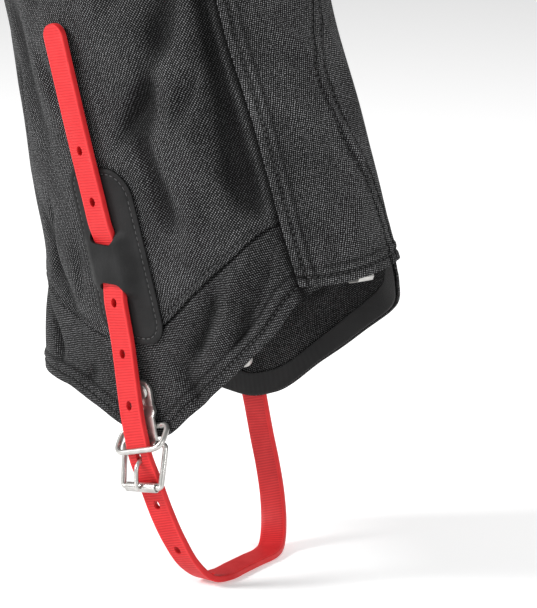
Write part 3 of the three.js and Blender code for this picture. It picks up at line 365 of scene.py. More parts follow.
class Value:
    """A socket that varies over a surface. Sums and products of values add the Math nodes that make them."""

    def __init__(self, finish, socket):
        self.finish, self.socket = finish, socket

    def maths(self, operation, *others):
        return self.finish.node("ShaderNodeMath", {"operation": operation}, [self, *others])

    def __add__(self, other):
        return self.maths("ADD", other)

    def __sub__(self, other):
        return self.maths("SUBTRACT", other)

    def __rsub__(self, other):
        return self * -1 + other

    def __mul__(self, other):
        return self.maths("MULTIPLY", other)

    def __pow__(self, power):
        return self.maths("POWER", power)

    __radd__, __rmul__ = __add__, __mul__

    def sine(self):
        return self.maths("SINE")

    def cosine(self):
        return self.maths("COSINE")

    def size(self):
        return self.maths("ABSOLUTE")

    def between(self, low, high):
        """0 below low, 1 above high and smooth between them."""
        settings = {"interpolation_type": "SMOOTHSTEP"}
        return self.finish.node("ShaderNodeMapRange", settings, [self, low, high, 0.0, 1.0])


class Finish:
    """A material being mixed. node() adds any node, and shades() sends a value to the shader."""

    def __init__(self, name, **fixed):
        self.material = bpy.data.materials.new(name)
        self.material.use_nodes = True
        self.tree = self.material.node_tree
        self.shader = self.tree.nodes["Principled BSDF"]
        for key, value in fixed.items():
            self.shader.inputs[key.replace("_", " ")].default_value = value

    def node(self, kind, settings=(), sockets=(), output=0):
        made = self.tree.nodes.new(kind)
        for key, value in dict(settings).items():
            setattr(made, key, value)
        pairs = sockets.items() if isinstance(sockets, dict) else enumerate(sockets)
        for key, value in pairs:
            if isinstance(value, Value):
                self.tree.links.new(value.socket, made.inputs[key])
            else:
                made.inputs[key].default_value = value
        return Value(self, made.outputs[output])

    def colour(self, share, a, b):
        """Colour a where share is 0 and b where it is 1."""
        return self.node("ShaderNodeMix", {"data_type": "RGBA"}, {0: share, 6: a, 7: b}, 2)

    def noise(self, size, detail=2.0, stretch=(1, 1, 1), where=None):
        """Soft noise from 0 to 1 whose blotches are about size across, in metres."""
        where = where or self.node("ShaderNodeTexCoord", output=3)
        scale = tuple(s / size for s in stretch)
        placed = self.node("ShaderNodeVectorMath", {"operation": "MULTIPLY"}, {0: where, 1: scale})
        return self.node("ShaderNodeTexNoise", sockets={"Vector": placed, "Scale": 1.0, "Detail": detail})

    def cut(self):
        """The two distances along the cloth as it was cut, in metres."""
        place = self.node("ShaderNodeUVMap", {"uv_map": "UVMap"})
        return [self.node("ShaderNodeSeparateXYZ", sockets=[place], output=k) for k in (0, 1)] + [place]

    def shades(self, **values):
        for key, value in values.items():
            self.tree.links.new(value.socket, self.shader.inputs[key.replace("_", " ")])

    def bumps(self, height, depth, strength=1.0):
        """Raises the surface by height times depth, in metres."""
        sockets = {"Height": height, "Distance": depth, "Strength": strength}
        self.shades(Normal=self.node("ShaderNodeBump", sockets=sockets))


def grey(level):
    return (level, level, level * 1.02, 1)


def woven(name, thread, dark, light, turn=0.0, bite=0.2):
    """Plain-woven coated nylon. Yarns that pass over catch the light as pale specks, a thread apart."""
    finish = Finish(name, Specular_IOR_Level=0.07)
    across, along, place = finish.cut()
    # Painted shade from the mesh attribute darkens the cloth and dims its specks along stitch grooves, seam
    # edges, fold valleys and beside the flap.
    painted_shade = finish.node("ShaderNodeAttribute", {"attribute_name": "painted_shade"}, output=2)
    cosine, sine = math.cos(math.radians(turn)), math.sin(math.radians(turn))
    wander = (finish.noise(4.5 * MM, where=place) - 0.5) * (0.9 * MM)
    warp_at = across * cosine - along * sine + wander
    weft_at = across * sine + along * cosine + wander
    warp, weft = (warp_at * (math.pi / thread)).sine(), (weft_at * (math.pi / thread)).sine()
    crossing = warp * weft
    over = crossing.between(0.1, 0.62)
    yarn = finish.noise(1.3 * MM, 2, (1, 2.2, 1), place).between(0.3, 0.68)
    wear = finish.noise(26 * MM, 4, where=place).between(0.3, 0.72)
    speck = over * (yarn * 0.95 + 0.15) * (1 - painted_shade * 0.8)
    base = finish.colour(wear, grey(dark * 0.7), grey(dark * 1.6))
    cloth = finish.colour(speck * (wear * 0.35 + 0.72), base, grey(light))
    finish.shades(
        Base_Color=finish.colour(painted_shade * 0.9, cloth, grey(0.0015)),
        Roughness=0.66 - speck * 0.2 + (wear - 0.5) * 0.08,
    )
    finish.bumps(over * 0.8 + crossing.size() * 0.5 + yarn * 0.2, bite * MM)
    return finish.material


def select_only(piece):
    bpy.ops.object.select_all(action="DESELECT")
    bpy.context.view_layer.objects.active = piece
    piece.select_set(True)


def modify(piece, kind, **settings):
    """Adds a modifier, sets it and applies it."""
    select_only(piece)
    modifier = piece.modifiers.new(kind.lower(), kind)
    for key, value in settings.items():
        setattr(modifier, key, value)
    bpy.ops.object.modifier_apply(modifier=modifier.name)


def cut_with(piece, cutters):
    """Cuts the cutters out of the piece and throws them away."""
    for cutter in cutters:
        select_only(piece)
        modifier = piece.modifiers.new("cut", "BOOLEAN")
        modifier.operation, modifier.object, modifier.solver = "DIFFERENCE", cutter, "EXACT"
        bpy.ops.object.modifier_apply(modifier=modifier.name)
        bpy.data.objects.remove(cutter)


def laid_grid(name, columns, rows, place):
    """A grid primitive whose points are laid by place(u, v). That gives points, the cut cloth's own distances and
    how much painted shade each point has, from 0 to 1: dark lines along stitch grooves and seam edges, and darker
    fold valleys."""
    bpy.ops.object.select_all(action="DESELECT")
    bpy.ops.mesh.primitive_grid_add(x_subdivisions=columns, y_subdivisions=rows, size=1, calc_uvs=True)
    piece = bpy.context.object
    piece.name = piece.data.name = name
    flat = np.empty(3 * len(piece.data.vertices))
    piece.data.vertices.foreach_get("co", flat)
    u, v = flat.reshape(-1, 3)[:, 0] + 0.5, flat.reshape(-1, 3)[:, 1] + 0.5
    points, cut, painted_dark = place(u, v)
    piece.data.vertices.foreach_set("co", points.ravel())
    # This attribute carries painted shade: how far the colour is darkened along stitch grooves and seam edges, in
    # fold valleys and beside the flap's edge.
    piece.data.attributes.new("painted_shade", "FLOAT", "POINT").data.foreach_set("value",
        (painted_dark + 0 * u).astype(np.float32))
    corners = np.empty(len(piece.data.loops), int)
    piece.data.loops.foreach_get("vertex_index", corners)
    piece.data.uv_layers[0].name = "UVMap"
    piece.data.uv_layers[0].data.foreach_set("uv", cut[corners].ravel())
    piece.data.update()
    return piece


def finished_cloth(piece, wall, material, body, replaced, edge=0.32, cutters=()):
    """Gives a laid grid its wall, its holes and soft cut edges, and hands it to its body."""
    modify(piece, "SOLIDIFY", thickness=wall, offset=-1)
    cut_with(piece, cutters)
    modify(piece, "BEVEL", width=edge * wall, segments=2, limit_method="ANGLE", angle_limit=math.radians(55))
    select_only(piece)
    bpy.ops.object.shade_smooth()
    piece.data.materials.clear()
    piece.data.materials.append(material)
    if body:
        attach(piece, body)
    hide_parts(*replaced)


def on_leg(start, finish, bottom, top, relief, gather=1.0, painted_shade=lambda angle, z: 0):
    """Lays a grid between two side edges, given as angles by height, and two ends, given as heights by angle."""

    def place(u, v):
        angle = start(TOP / 2 + 0 * u) * (1 - u) + finish(TOP / 2 + 0 * u) * u
        for _ in range(6):
            z = bottom(angle) + (top(angle) - bottom(angle)) * v**gather
            angle = start(z) * (1 - u) + finish(z) * u
        # The third value is each point's painted shade, given by the last function.
        return skin(angle, z, relief(angle, z)), np.stack([round_leg(angle, z), z], -1), painted_shade(angle, z)

    return place


HINGE_SIDE = 16 * MM
UNDERLAP_SIDE = 9 * MM


def rear_edge(z):
    return 180 - np.degrees(SEAM_GAP / 2 / leg_at(z)[2])


def front_edge(y):
    return lambda z: angle_of_y(y, z)


def level(height):
    return lambda angle: height + 0 * angle


packcloth_shaft = woven("packcloth shaft", 0.72 * MM, 0.0042, 0.27, turn=8)
packcloth_ankle = woven("packcloth ankle", 0.70 * MM, 0.0042, 0.22, turn=-31)
# The top webbing comes out through a slot in the outer shaft.
place = on_leg(
    lambda z: 122 + 0 * z, lambda z: 103 + 0 * z, level(457 * MM), level(475 * MM),
    lambda a, z: 2 * MM + 0 * z
)
webbing_slot = laid_grid("webbing_slot", 12, 4, place)
modify(webbing_slot, "SOLIDIFY", thickness=5 * MM, offset=-1)
outer_sides = (rear_edge, front_edge(UNDERLAP_SIDE))
inner_sides = (front_edge(UNDERLAP_SIDE + SEAM_GAP), lambda z: -rear_edge(z))
for side, (start, finish) in {"outer": outer_sides, "inner": inner_sides}.items():
    shaft = laid_grid(
        f"{side}_shaft_cloth", 150, 200,
        on_leg(start, finish, lambda a: yoke_at(a) + SEAM_GAP / 2, level(TOP), shell_relief, 1.25, shell_painted_shade),
    )
    cutters = [webbing_slot] if side == "outer" else []
    finished_cloth(
        shaft, FABRIC, packcloth_shaft, "gaiter", [f"{side}_shaft_panel"], cutters=cutters
    )
    ankle = laid_grid(
        f"{side}_ankle_cloth", 180, 64,
        on_leg(start, finish, hem_at, tuck_top, ankle_relief, 1.1, shell_painted_shade),
    )
    finished_cloth(ankle, FABRIC, packcloth_ankle, "gaiter", [f"{side}_ankle_panel"], 0.4)

# ------------------------------------------------------------------ facings, channel and rear seam tape
# Inside the shell: a strip faces the turned-up hem on each side, a strip makes the channel for the top webbing,
# and a binding tape covers the seam up the back. All are thin black ribbed nylon, sewn through.
def ribbed(name, pitch, dark, light, along_first=True, bite=0.12):
    """Grosgrain or webbing: close ribs across the strip, with fine threads along it."""
    finish = Finish(name, **{"Specular_IOR_Level": 0.25, "Sheen_Weight": 0.1, "Sheen_Roughness": 0.5})
    across, along, place = finish.cut()
    first, second = (across, along) if along_first else (along, across)
    ribs = (first * (2 * math.pi / pitch)).sine() * 0.5 + 0.5
    threads = (second * (2 * math.pi / (0.6 * pitch))).sine() * 0.5 + 0.5
    wear = finish.noise(14 * MM, 3, where=place)
    raised = ribs * 0.7 + threads * ribs * 0.3
    finish.shades(
        Base_Color=finish.colour(raised * (wear * 0.6 + 0.5), grey(dark), grey(light)),
        Roughness=0.85 - raised * 0.2,
    )
    finish.bumps(raised, bite * MM)
    return finish.material


FACING = 0.7 * MM
CHANNEL = 28 * MM
REAR_TAPE = 14 * MM
inside = -FABRIC - LAYER_GAP
facing_tape = ribbed("facing tape", 0.7 * MM, 0.006, 0.035)


def rear_clear(z):
    return np.degrees((REAR_TAPE / 2 + MM) / leg_at(z)[2])


def under_shell(angle, z):
    return drape(angle, z) + inside


facing_sides = {
    "outer": (lambda z: 180 - rear_clear(z), lambda z: 22 + 0 * z),
    "inner": (front_edge(HINGE_SIDE + MM), lambda z: rear_clear(z) - 180),
}
for side, (start, finish) in facing_sides.items():
    place = on_leg(start, finish, lambda a: hem_at(a) + 0.5 * MM, lambda a: hem_at(a) + 11.5 * MM, under_shell)
    facing = laid_grid(f"{side}_hem_facing_tape", 150, 7, place)
    finished_cloth(facing, FACING, facing_tape, "gaiter", [f"{side}_hem_facing"])

place = on_leg(
    lambda z: 180 + np.degrees(REAR_TAPE / 2 / leg_at(z)[2]),
    lambda z: 180 - np.degrees(REAR_TAPE / 2 / leg_at(z)[2]),
    level(85.5 * MM), level(TOP - CHANNEL - MM),
    lambda a, z: drape(np.where(a > 180, a - 360, a), z) + inside,
)
rear_tape = laid_grid("rear_seam_binding", 10, 190, place)
finished_cloth(rear_tape, FACING, facing_tape, "gaiter", ["rear_seam_tape"])

WEBBING = 1.2 * MM
WEBBING_WIDTH = 16 * MM
WEBBING_Z = 466 * MM
webbing_middle = inside - WEBBING / 2
facing_high = webbing_middle - WEBBING / 2 - LAYER_GAP
place = on_leg(
    lambda z: -21 + 0 * z, lambda z: -352 + 0 * z, level(TOP - CHANNEL), level(TOP - 0.6 * MM),
    lambda a, z: facing_high + 0 * z
)
channel = laid_grid("top_channel_tape", 240, 10, place)
finished_cloth(channel, 0.8 * MM, facing_tape, "gaiter", ["top_channel_facing"])

# ------------------------------------------------------------------ storm flap and its tapes
# A wide flap of the same cloth closes the front. It is sewn down beside the far side of the instep, folded and
# stitched round its free edge and its lower end, and held shut by hook and loop tape along its middle.
FLAP_SEAM_SIDE = 15.4 * MM
FLAP_TOP = TOP - 2 * MM
TAPE = 0.9 * MM
FLAP_STITCH = 4.2 * MM
flap_low = LAYER_GAP + 2 * (TAPE + LAYER_GAP)
tape_angles = (6, 34)
quilt_rows = through([(150, -1), (166, 0.5), (188, -3), (208, -10.5), (235, -14), (270, -5), (300, -3),
    (480, -3)])
flap_folds = [
    (30, 262, 10, 244, 0.9, 5), (36, 232, 18, 214, 0.8, 5), (14, 222, 2, 196, 1.1, 4),
    (38, 300, 20, 280, 0.9, 6),
    (26, 198, 40, 178, 0.6, 5), (8, 180, 24, 160, 0.8, 5), (38, 262, 40, 206, 0.7, 5),
    (34, 360, 14, 336, 0.9, 6),
    (12, 420, 32, 400, 0.8, 6), (40, 420, 38, 360, 0.8, 6), (2, 262, -8, 226, 0.5, 4),
    (30, 170, 34, 152, 0.6, 4),
]


def flap_seam(z):
    return angle_of_y(FLAP_SEAM_SIDE, z)


def flap_bottom(angle):
    return (152 - 6.5 * smoothstep(angle, -15, FLAP_FREE)) * MM


def quilt_line(z, which):
    return quilt_rows(z / MM)[..., 0] * MM + which * 5.2 * MM


def flap_seams(angle, z):
    """Share of the way from the sewn seam to the free edge, and distances from both folded edges."""
    seam = flap_seam(z)
    from_edge = round_leg(FLAP_FREE + 0 * z, z) - round_leg(angle, z)
    return (angle - seam) / (FLAP_FREE - seam), from_edge, z - flap_bottom(angle), surface(angle, z)[..., 1]


def flap_relief(angle, z):
    """Offset of the flap's outer face, with its folded edges, its rows of stitches and its own soft folds."""
    share, from_edge, from_bottom, side = flap_seams(angle, z)
    offset = (flap_low + 1.0 * MM - 2.6 * MM * (1 - smoothstep(share, 0, 0.16))
              - 0.9 * MM * smoothstep(share, 0.9, 1))
    round_at = round_leg(angle, z)
    moved = 0 * z
    for a, low, b, high, depth, half_width in flap_folds:
        start = (float(round_leg(np.array(a), np.array(low * MM))), low * MM)
        end = (float(round_leg(np.array(b), np.array(high * MM))), high * MM)
        moved += 2.0 * depth * MM * crease(round_at, z, start, end, 0.8 * half_width * MM)
    moved += 0.45 * MM * (1 + np.sin(z / 0.013 + round_at / 0.009)) * smoothstep(share, 0.2, 0.5)
    pucker = np.sin(z / (1.2 * MM)) * 0.5 + np.sin(z / (2.9 * MM) + round_at / (2 * MM)) * 0.5
    moved += 0.8 * MM * (1 - smoothstep(from_edge, 7 * MM, 8.4 * MM))
    moved += (0.6 * MM * (1 - smoothstep(from_bottom, 7 * MM, 8.4 * MM))
              * smoothstep(from_edge, 7 * MM, 8.4 * MM))
    moved -= 0.7 * MM * (
        bump_line(from_edge, FLAP_STITCH, 0.8 * MM) + bump_line(from_bottom, FLAP_STITCH, 0.8 * MM))
    moved += 0.3 * MM * pucker * bump_line(from_edge, FLAP_STITCH, 3 * MM)
    for which in (0, 1):
        moved -= 0.7 * MM * bump_line(side, quilt_line(z, which), 0.8 * MM)
    moved += 0.4 * MM * pucker * bump_line(side, quilt_line(z, 0.5), 4.5 * MM)
    return offset + moved * smoothstep(share, 0.03, 0.12)


# Painted shade on the flap: dark lines along its stitch grooves, at the inner edges of its folded hems and along
# its quilting rows.
def flap_painted_shade(angle, z):
    share, from_edge, from_bottom, side = flap_seams(angle, z)
    painted_dark = bump_line(from_edge, FLAP_STITCH, 0.7 * MM) + bump_line(from_bottom, FLAP_STITCH, 0.7 * MM)
    painted_dark += 0.4 * bump_line(from_edge, 8.2 * MM, 0.8 * MM) + 0.4 * bump_line(from_bottom, 8.2 * MM, 0.8 * MM)
    painted_dark += bump_line(side, quilt_line(z, 0), 0.75 * MM) + bump_line(side, quilt_line(z, 1), 0.75 * MM)
    return np.clip(painted_dark, 0, 1) * 0.85


flap_cloth = woven("flap packcloth", 0.64 * MM, 0.005, 0.36, turn=27)
place = on_leg(lambda z: FLAP_FREE + 0 * z, flap_seam, flap_bottom, level(FLAP_TOP), flap_relief, 1.15,
    flap_painted_shade)
flap = laid_grid("storm_flap_cloth", 92, 320, place)
finished_cloth(flap, 1.0 * MM, flap_cloth, None, ["storm_flap"], 0.4)
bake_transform(flap)

# The strip's last function is painted shade: a dark line along its stitch groove.
seam_tape = laid_grid(
    "flap_seam_strip", 12, 200,
    on_leg(
        front_edge(HINGE_SIDE + 0.3 * MM), front_edge(HINGE_SIDE + 8 * MM), level(152.5 * MM), level(FLAP_TOP),
        lambda a, z: LAYER_GAP + 0.9 * MM - 0.4 * MM * bump_line(
            surface(a, z)[..., 1], HINGE_SIDE + 3.6 * MM, 0.9 * MM),
        1.0, lambda a, z: bump_line(surface(a, z)[..., 1], HINGE_SIDE + 3.6 * MM, 0.7 * MM),
    ),
)
finished_cloth(seam_tape, 0.8 * MM, flap_cloth, "gaiter", ["flap_seam_tape"], 0.4)


def touch_tape(name, dark, light, pitch, bite):
    """Hook or loop tape: rows of small dots standing on a woven ground."""
    finish = Finish(name, **{"Specular_IOR_Level": 0.3, "Roughness": 0.8})
    across, along, place = finish.cut()
    dots = ((across * (math.pi / pitch)).sine() * (along * (math.pi / pitch)).sine()).size()
    ragged = dots * (finish.noise(1.1 * MM, 2, where=place) * 0.8 + 0.5)
    finish.shades(Base_Color=finish.colour(ragged.between(0.25, 0.9), grey(dark), grey(light)))
    finish.bumps(ragged, bite * MM)
    return finish.material


tapes = {
    "hook_tape": ("hook_strip", LAYER_GAP + TAPE, "gaiter", touch_tape("hooks", 0.008, 0.06, 1.3 * MM, 0.5)),
    "loop_tape": ("loop_strip", 2 * (LAYER_GAP + TAPE), "flap",
        touch_tape("loops", 0.012, 0.04, 0.9 * MM, 0.6)),
}
for node, (name, offset, body, material) in tapes.items():
    place = on_leg(
        lambda z: tape_angles[1] + 0 * z, lambda z: tape_angles[0] + 0 * z, level(184 * MM), level(466 * MM),
        lambda a, z, offset=offset: offset + 0 * z,
    )
    strip = laid_grid(name, 30, 140, place)
    finished_cloth(strip, TAPE, material, body, [node])

# ------------------------------------------------------------------ strap patch and anchor patch
# Two pieces of coated fabric with round corners are stitched to the ankle. The outer one has two slots with a
# bridge between them, and the strap passes behind the bridge. The inner one backs the strap's fixed end.
PATCH = 1.15 * MM
PATCH_CORNER = 12 * MM
PATCH_HALF = 18.5 * MM
PATCH_STITCH = 2.7 * MM
SLOT = 8.5 * MM
STRAP_WIDTH = 12.5 * MM
STRAP_THICKNESS = 3 * MM
patch_low, patch_high = 112 * MM, 193 * MM
bridge_low, bridge_high = 140 * MM, 158 * MM


def coated(name):
    """Rubber-coated fabric: dark grey, matt, with a fine leathery grain and paler rubbed patches."""
    finish = Finish(name, Specular_IOR_Level=0.14)
    grain = finish.noise(0.55 * MM, 4)
    cells = finish.noise(1.6 * MM, 2).between(0.35, 0.65)
    rub = finish.noise(18 * MM, 3).between(0.35, 0.7)
    # Painted shade from the mesh attribute darkens the coating along its stitch grooves.
    painted_shade = finish.node("ShaderNodeAttribute", {"attribute_name": "painted_shade"}, output=2)
    coat = finish.colour(grain * 0.6 + rub * 0.4, grey(0.007), grey(0.021))
    finish.shades(
        Base_Color=finish.colour(painted_shade * 0.7, coat, grey(0.003)),
        Roughness=0.62 - rub * 0.1 + grain * 0.08,
    )
    finish.bumps(grain + cells * 0.5, 0.09 * MM)
    return finish.material


def patch_middle(z):
    return -37 * MM - 0.2 * (z - 152 * MM)


def rounded_distance(x, z, half_x, half_z, corner):
    """Distance inwards from the outline of a rounded rectangle about the origin."""
    out_x, out_z = np.abs(x) - half_x + corner, np.abs(z) - half_z + corner
    outside = np.hypot(np.maximum(out_x, 0), np.maximum(out_z, 0))
    return corner - outside - np.minimum(np.maximum(out_x, out_z), 0)


def patch_relief(x, z):
    along = smoothstep(z, bridge_low - 7.5 * MM, bridge_low - 1 * MM)
    along = along * (1 - smoothstep(z, bridge_high + 1 * MM, bridge_high + 7.5 * MM))
    across = 1 - smoothstep(np.abs(x - strap_x(z)), STRAP_WIDTH / 2 + 0.6 * MM, STRAP_WIDTH / 2 + 10.5 * MM)
    middle = (patch_low + patch_high) / 2
    inwards = rounded_distance(x - patch_middle(z), z - middle, PATCH_HALF, (patch_high - patch_low) / 2,
        PATCH_CORNER)
    groove = 0.35 * bump_line(inwards, PATCH_STITCH, 0.55 * MM) + 0.3 * (1 - smoothstep(inwards, 0, 1.2 * MM))
    return LAYER_GAP + PATCH + 4.1 * MM * along * across - groove * MM


def place_patch(u, v):
    rows = (np.sin((v - 0.5) * math.pi) * 0.25 + (v - 0.5) * 0.5) + 0.5
    z = patch_low + (patch_high - patch_low) * rows
    from_end = np.minimum(np.minimum(z - patch_low, patch_high - z), PATCH_CORNER)
    half = PATCH_HALF - PATCH_CORNER + np.sqrt(PATCH_CORNER**2 - (PATCH_CORNER - from_end) ** 2)
    x = patch_middle(z) + (2 * u - 1) * half
    middle = (patch_low + patch_high) / 2
    inwards = rounded_distance(x - patch_middle(z), z - middle, PATCH_HALF, (patch_high - patch_low) / 2,
        PATCH_CORNER)
    points = skin(angle_of_x(x, z), z, patch_relief(x, z))
    # The last value is painted shade: a dark line along the stitch groove.
    return points, np.stack([x, z], -1), bump_line(inwards, PATCH_STITCH, 0.6 * MM)


def fabric_frame(angle, z):
    """Axes on the cloth at a point: x forwards, y up the leg, z outwards."""
    angle, z = np.array(float(angle)), np.array(float(z))
    out = Vector(outward(angle, z))
    up = (Vector((0, 0, 1)) - out * out.z).normalized()
    turned = Matrix((up.cross(out), up, out)).transposed().to_4x4()
    turned.translation = Vector(surface(angle, z))
    return turned


def slot_cutter(matrix, width, height, depth):
    """A bar with round ends, for cutting a slot: a cylinder parted along its longer side."""
    radius = min(width, height) / 2
    bpy.ops.object.select_all(action="DESELECT")
    bpy.ops.mesh.primitive_cylinder_add(vertices=40, radius=radius, depth=depth)
    cutter = bpy.context.object
    for vertex in cutter.data.vertices:
        vertex.co.x += math.copysign(width / 2 - radius, vertex.co.x)
        vertex.co.y += math.copysign(height / 2 - radius, vertex.co.y)
    cutter.data.transform(matrix)
    return cutter


coating = coated("coated patch")
patch = laid_grid("strap_patch_panel", 72, 150, place_patch)
modify(patch, "SOLIDIFY", thickness=PATCH, offset=-1)
slots = [bridge_high + SLOT / 2, bridge_low - SLOT / 2]
cut_with(patch, [
    slot_cutter(fabric_frame(angle_of_x(strap_x(z), z), z), STRAP_WIDTH + 2 * MM, SLOT, 24 * MM)
    for z in slots
])
modify(patch, "BEVEL", width=0.28 * MM, segments=2, limit_method="ANGLE", angle_limit=math.radians(55))
select_only(patch)
bpy.ops.object.shade_smooth_by_angle(angle=math.radians(50))
patch.data.materials.clear()
patch.data.materials.append(coating)
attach(patch, "gaiter")
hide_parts("strap_patch")

ANCHOR_X = -27 * MM
anchor_low, anchor_high = 70 * MM, 100 * MM


def place_anchor(u, v):
    z = anchor_low + (anchor_high - anchor_low) * v
    from_end = np.minimum(np.minimum(z - anchor_low, anchor_high - z), 6 * MM)
    half = 7 * MM + np.sqrt((6 * MM) ** 2 - (6 * MM - from_end) ** 2)
    x = ANCHOR_X + MM + (1 - 2 * u) * half
    inwards = rounded_distance(x - ANCHOR_X - MM, z - 85 * MM, 13 * MM, 15 * MM, 6 * MM)
    relief = LAYER_GAP + MM - 0.3 * MM * bump_line(inwards, 2.2 * MM, 0.5 * MM)
    # The last value is painted shade: a dark line along the stitch groove.
    return skin(-angle_of_x(x, z), z, relief), np.stack([x, z], -1), bump_line(inwards, 2.2 * MM, 0.6 * MM)


anchor = laid_grid("anchor_patch_panel", 50, 58, place_anchor)
finished_cloth(anchor, MM, coating, "gaiter", ["anchor_patch"], 0.28)

# ------------------------------------------------------------------ instep strap
# One moulded strap of red thermoplastic rubber, ribbed across its outer face between smooth borders, with a
# row of oval holes. It is riveted on the inner side, passes under the arch and up through the buckle and patch.
RIB_PITCH = 1.3 * MM
HOLE_PITCH = 24 * MM
BORDER = 1.05 * MM
over_patch = LAYER_GAP + PATCH + LAYER_GAP + STRAP_THICKNESS / 2
under_bridge = LAYER_GAP + 0.3 * MM + STRAP_THICKNESS / 2
strap_stand_off = through([
    (60, 8.3), (72, 7.9), (83, 6.9), (92, 5.6), (102, 4.3), (112, over_patch / MM + 0.1),
    (131.5, over_patch / MM),
    (139, under_bridge / MM), (159, under_bridge / MM), (166.5, over_patch / MM), (258, over_patch / MM),
])
# Where it hangs free, the route is the boot's: place and outward direction, in millimetres.
strap_route = [
    (-22.5, 46.8, 62, 0, 1, 0), (-19.5, 46.8, 48, 0, 1, -0.05), (-15.5, 45.8, 34, 0, 1, -0.15),
    (-11, 42.8, 20, 0, 1, -0.4), (-6.5, 37, 7.5, 0, 0.75, -0.75), (-2.5, 28.5, -0.3, 0, 0.25, -1),
    (0, 19, -1.5, 0, 0, -1), (0, 7, -1.5, 0, 0, -1), (0, -7, -1.5, 0, 0, -1), (0, -19, -1.5, 0, 0, -1),
    (-2.5, -28.5, -0.3, 0, -0.25, -1), (-6.5, -37, 7.5, 0, -0.75, -0.75), (-11, -42.8, 20, 0, -1, -0.4),
    (-15.2, -46.4, 33, 0, -1, -0.2), (-18.8, -49.4, 46.5, 0, -1, -0.2),
]


def strap_stations():
    inner_z = np.array([100, 92, 84, 76]) * MM
    inner = -angle_of_x(ANCHOR_X + (86 * MM - inner_z) * 0.12, inner_z)
    stand = LAYER_GAP + 1.6 * MM + STRAP_THICKNESS / 2
    outer_z = np.array([60, 68, 76, 84, 92, 102, 112, 122, 131, 135.5, 139, 149, 159, 162.5, 167, 180, 200,
        220, 240, 258]) * MM
    outer = angle_of_x(strap_x(outer_z), outer_z)
    route = np.array(strap_route)
    points = [skin(inner, inner_z, stand + 0 * inner_z), route[:, :3] * MM,
              skin(outer, outer_z, strap_stand_off(outer_z / MM)[:, 0] * MM)]
    normals = [outward(inner, inner_z), unit(route[:, 3:]), outward(outer, outer_z)]
    return np.vstack(points), np.vstack(normals)


def spline(points, count):
    """A centripetal Catmull-Rom curve through the points, with count steps in each span."""
    padded = np.vstack([2 * points[0] - points[1], points, 2 * points[-1] - points[-2]])
    gaps = np.maximum(np.linalg.norm(np.diff(padded, axis=0), axis=1) ** 0.5, 1e-6)[:, None]
    samples = []
    for i in range(1, len(padded) - 2):
        a, b, c, d = padded[i - 1:i + 3]
        g0, g1, g2 = gaps[i - 1], gaps[i], gaps[i + 1]
        leave = ((b - a) / g0 - (c - a) / (g0 + g1) + (c - b) / g1) * g1
        reach = ((c - b) / g1 - (d - b) / (g1 + g2) + (d - c) / g2) * g1
        t = (np.arange(count) / count)[:, None]
        near, far = 3 * t**2 - 2 * t**3, t**3 - t**2
        samples.append(b + near * (c - b) + leave * (far - t**2 + t) + reach * far)
    return np.vstack(samples + [points[-1:]])


station_points, station_normals = strap_stations()
strap_line, strap_out = spline(station_points, 40), spline(station_normals, 40)
strap_run = np.concatenate([[0], np.cumsum(np.linalg.norm(np.diff(strap_line, axis=0), axis=1))])
strap_length = strap_run[-1]


def strap_at(distance):
    """Centre, tangent, outward normal and sideways direction at a distance along the strap."""
    pick = lambda rows, d: np.stack([np.interp(d, strap_run, rows[:, k]) for k in range(3)], -1)
    centre = pick(strap_line, distance)
    tangent = unit(pick(strap_line, distance + 0.4 * MM) - pick(strap_line, distance - 0.4 * MM))
    normal = pick(strap_out, distance)
    normal = unit(normal - tangent * (normal * tangent).sum(-1, keepdims=True))
    return centre, tangent, normal, np.cross(tangent, normal)


# Half of the section, from the middle of the outer face round a soft corner to the middle of the back.
half, thick, soft = STRAP_WIDTH / 2, STRAP_THICKNESS / 2, 0.55 * MM
face = [0, 0.35 * half, 0.65 * half, half - BORDER - 0.25 * MM, half - BORDER, half - BORDER + 0.15 * MM,
    half - 0.8 * MM]
corner = [
    (half - soft + soft * math.sin(t), thick - soft + soft * math.cos(t)) for t in np.radians([0, 30, 60, 90])]
side_profile = [(x, thick) for x in face] + corner + [(half, 0)] + [(x, -y) for x, y in reversed(corner)]
side_profile += [(0.6 * half, -thick), (0, -thick)]
section = np.array(side_profile + [(-x, y) for x, y in reversed(side_profile[:-1])])


def place_strap(u, v):
    end = STRAP_WIDTH / 2
    distance = strap_length * u
    distance = np.where(u < 0.02, strap_length * 0.02 * (1 - np.cos(u / 0.02 * math.pi / 2)), distance)
    distance = np.where(u > 0.98, strap_length * (1 - 0.02 * (1 - np.cos((1 - u) / 0.02 * math.pi / 2))),
        distance)
    centre, _, normal, sideways = strap_at(distance)
    from_end = np.minimum(np.minimum(distance, strap_length - distance), end)
    width = np.sqrt(np.maximum(end**2 - (end - from_end) ** 2, 0)) / end
    index = np.rint(v * (len(section) - 1)).astype(int)
    across, out = section[index, 0], section[index, 1]
    ribbed_zone = 1 - smoothstep(np.abs(across), half - BORDER - 0.1 * MM, half - BORDER + 0.1 * MM)
    near_end = smoothstep(from_end, 1.5 * MM, 2.5 * MM)
    rib = (np.cos(2 * math.pi * distance / RIB_PITCH) * 0.5 - 0.5) * 0.16 * MM
    thin = np.sqrt(np.clip(from_end / (0.8 * MM), 0.05, 1))
    out = np.where(out > 0.99 * thick, out + rib * ribbed_zone * near_end, out) * thin
    points = centre + sideways * (across * width)[..., None] + normal * out[..., None]
    return points, np.stack([across, distance], -1), 0


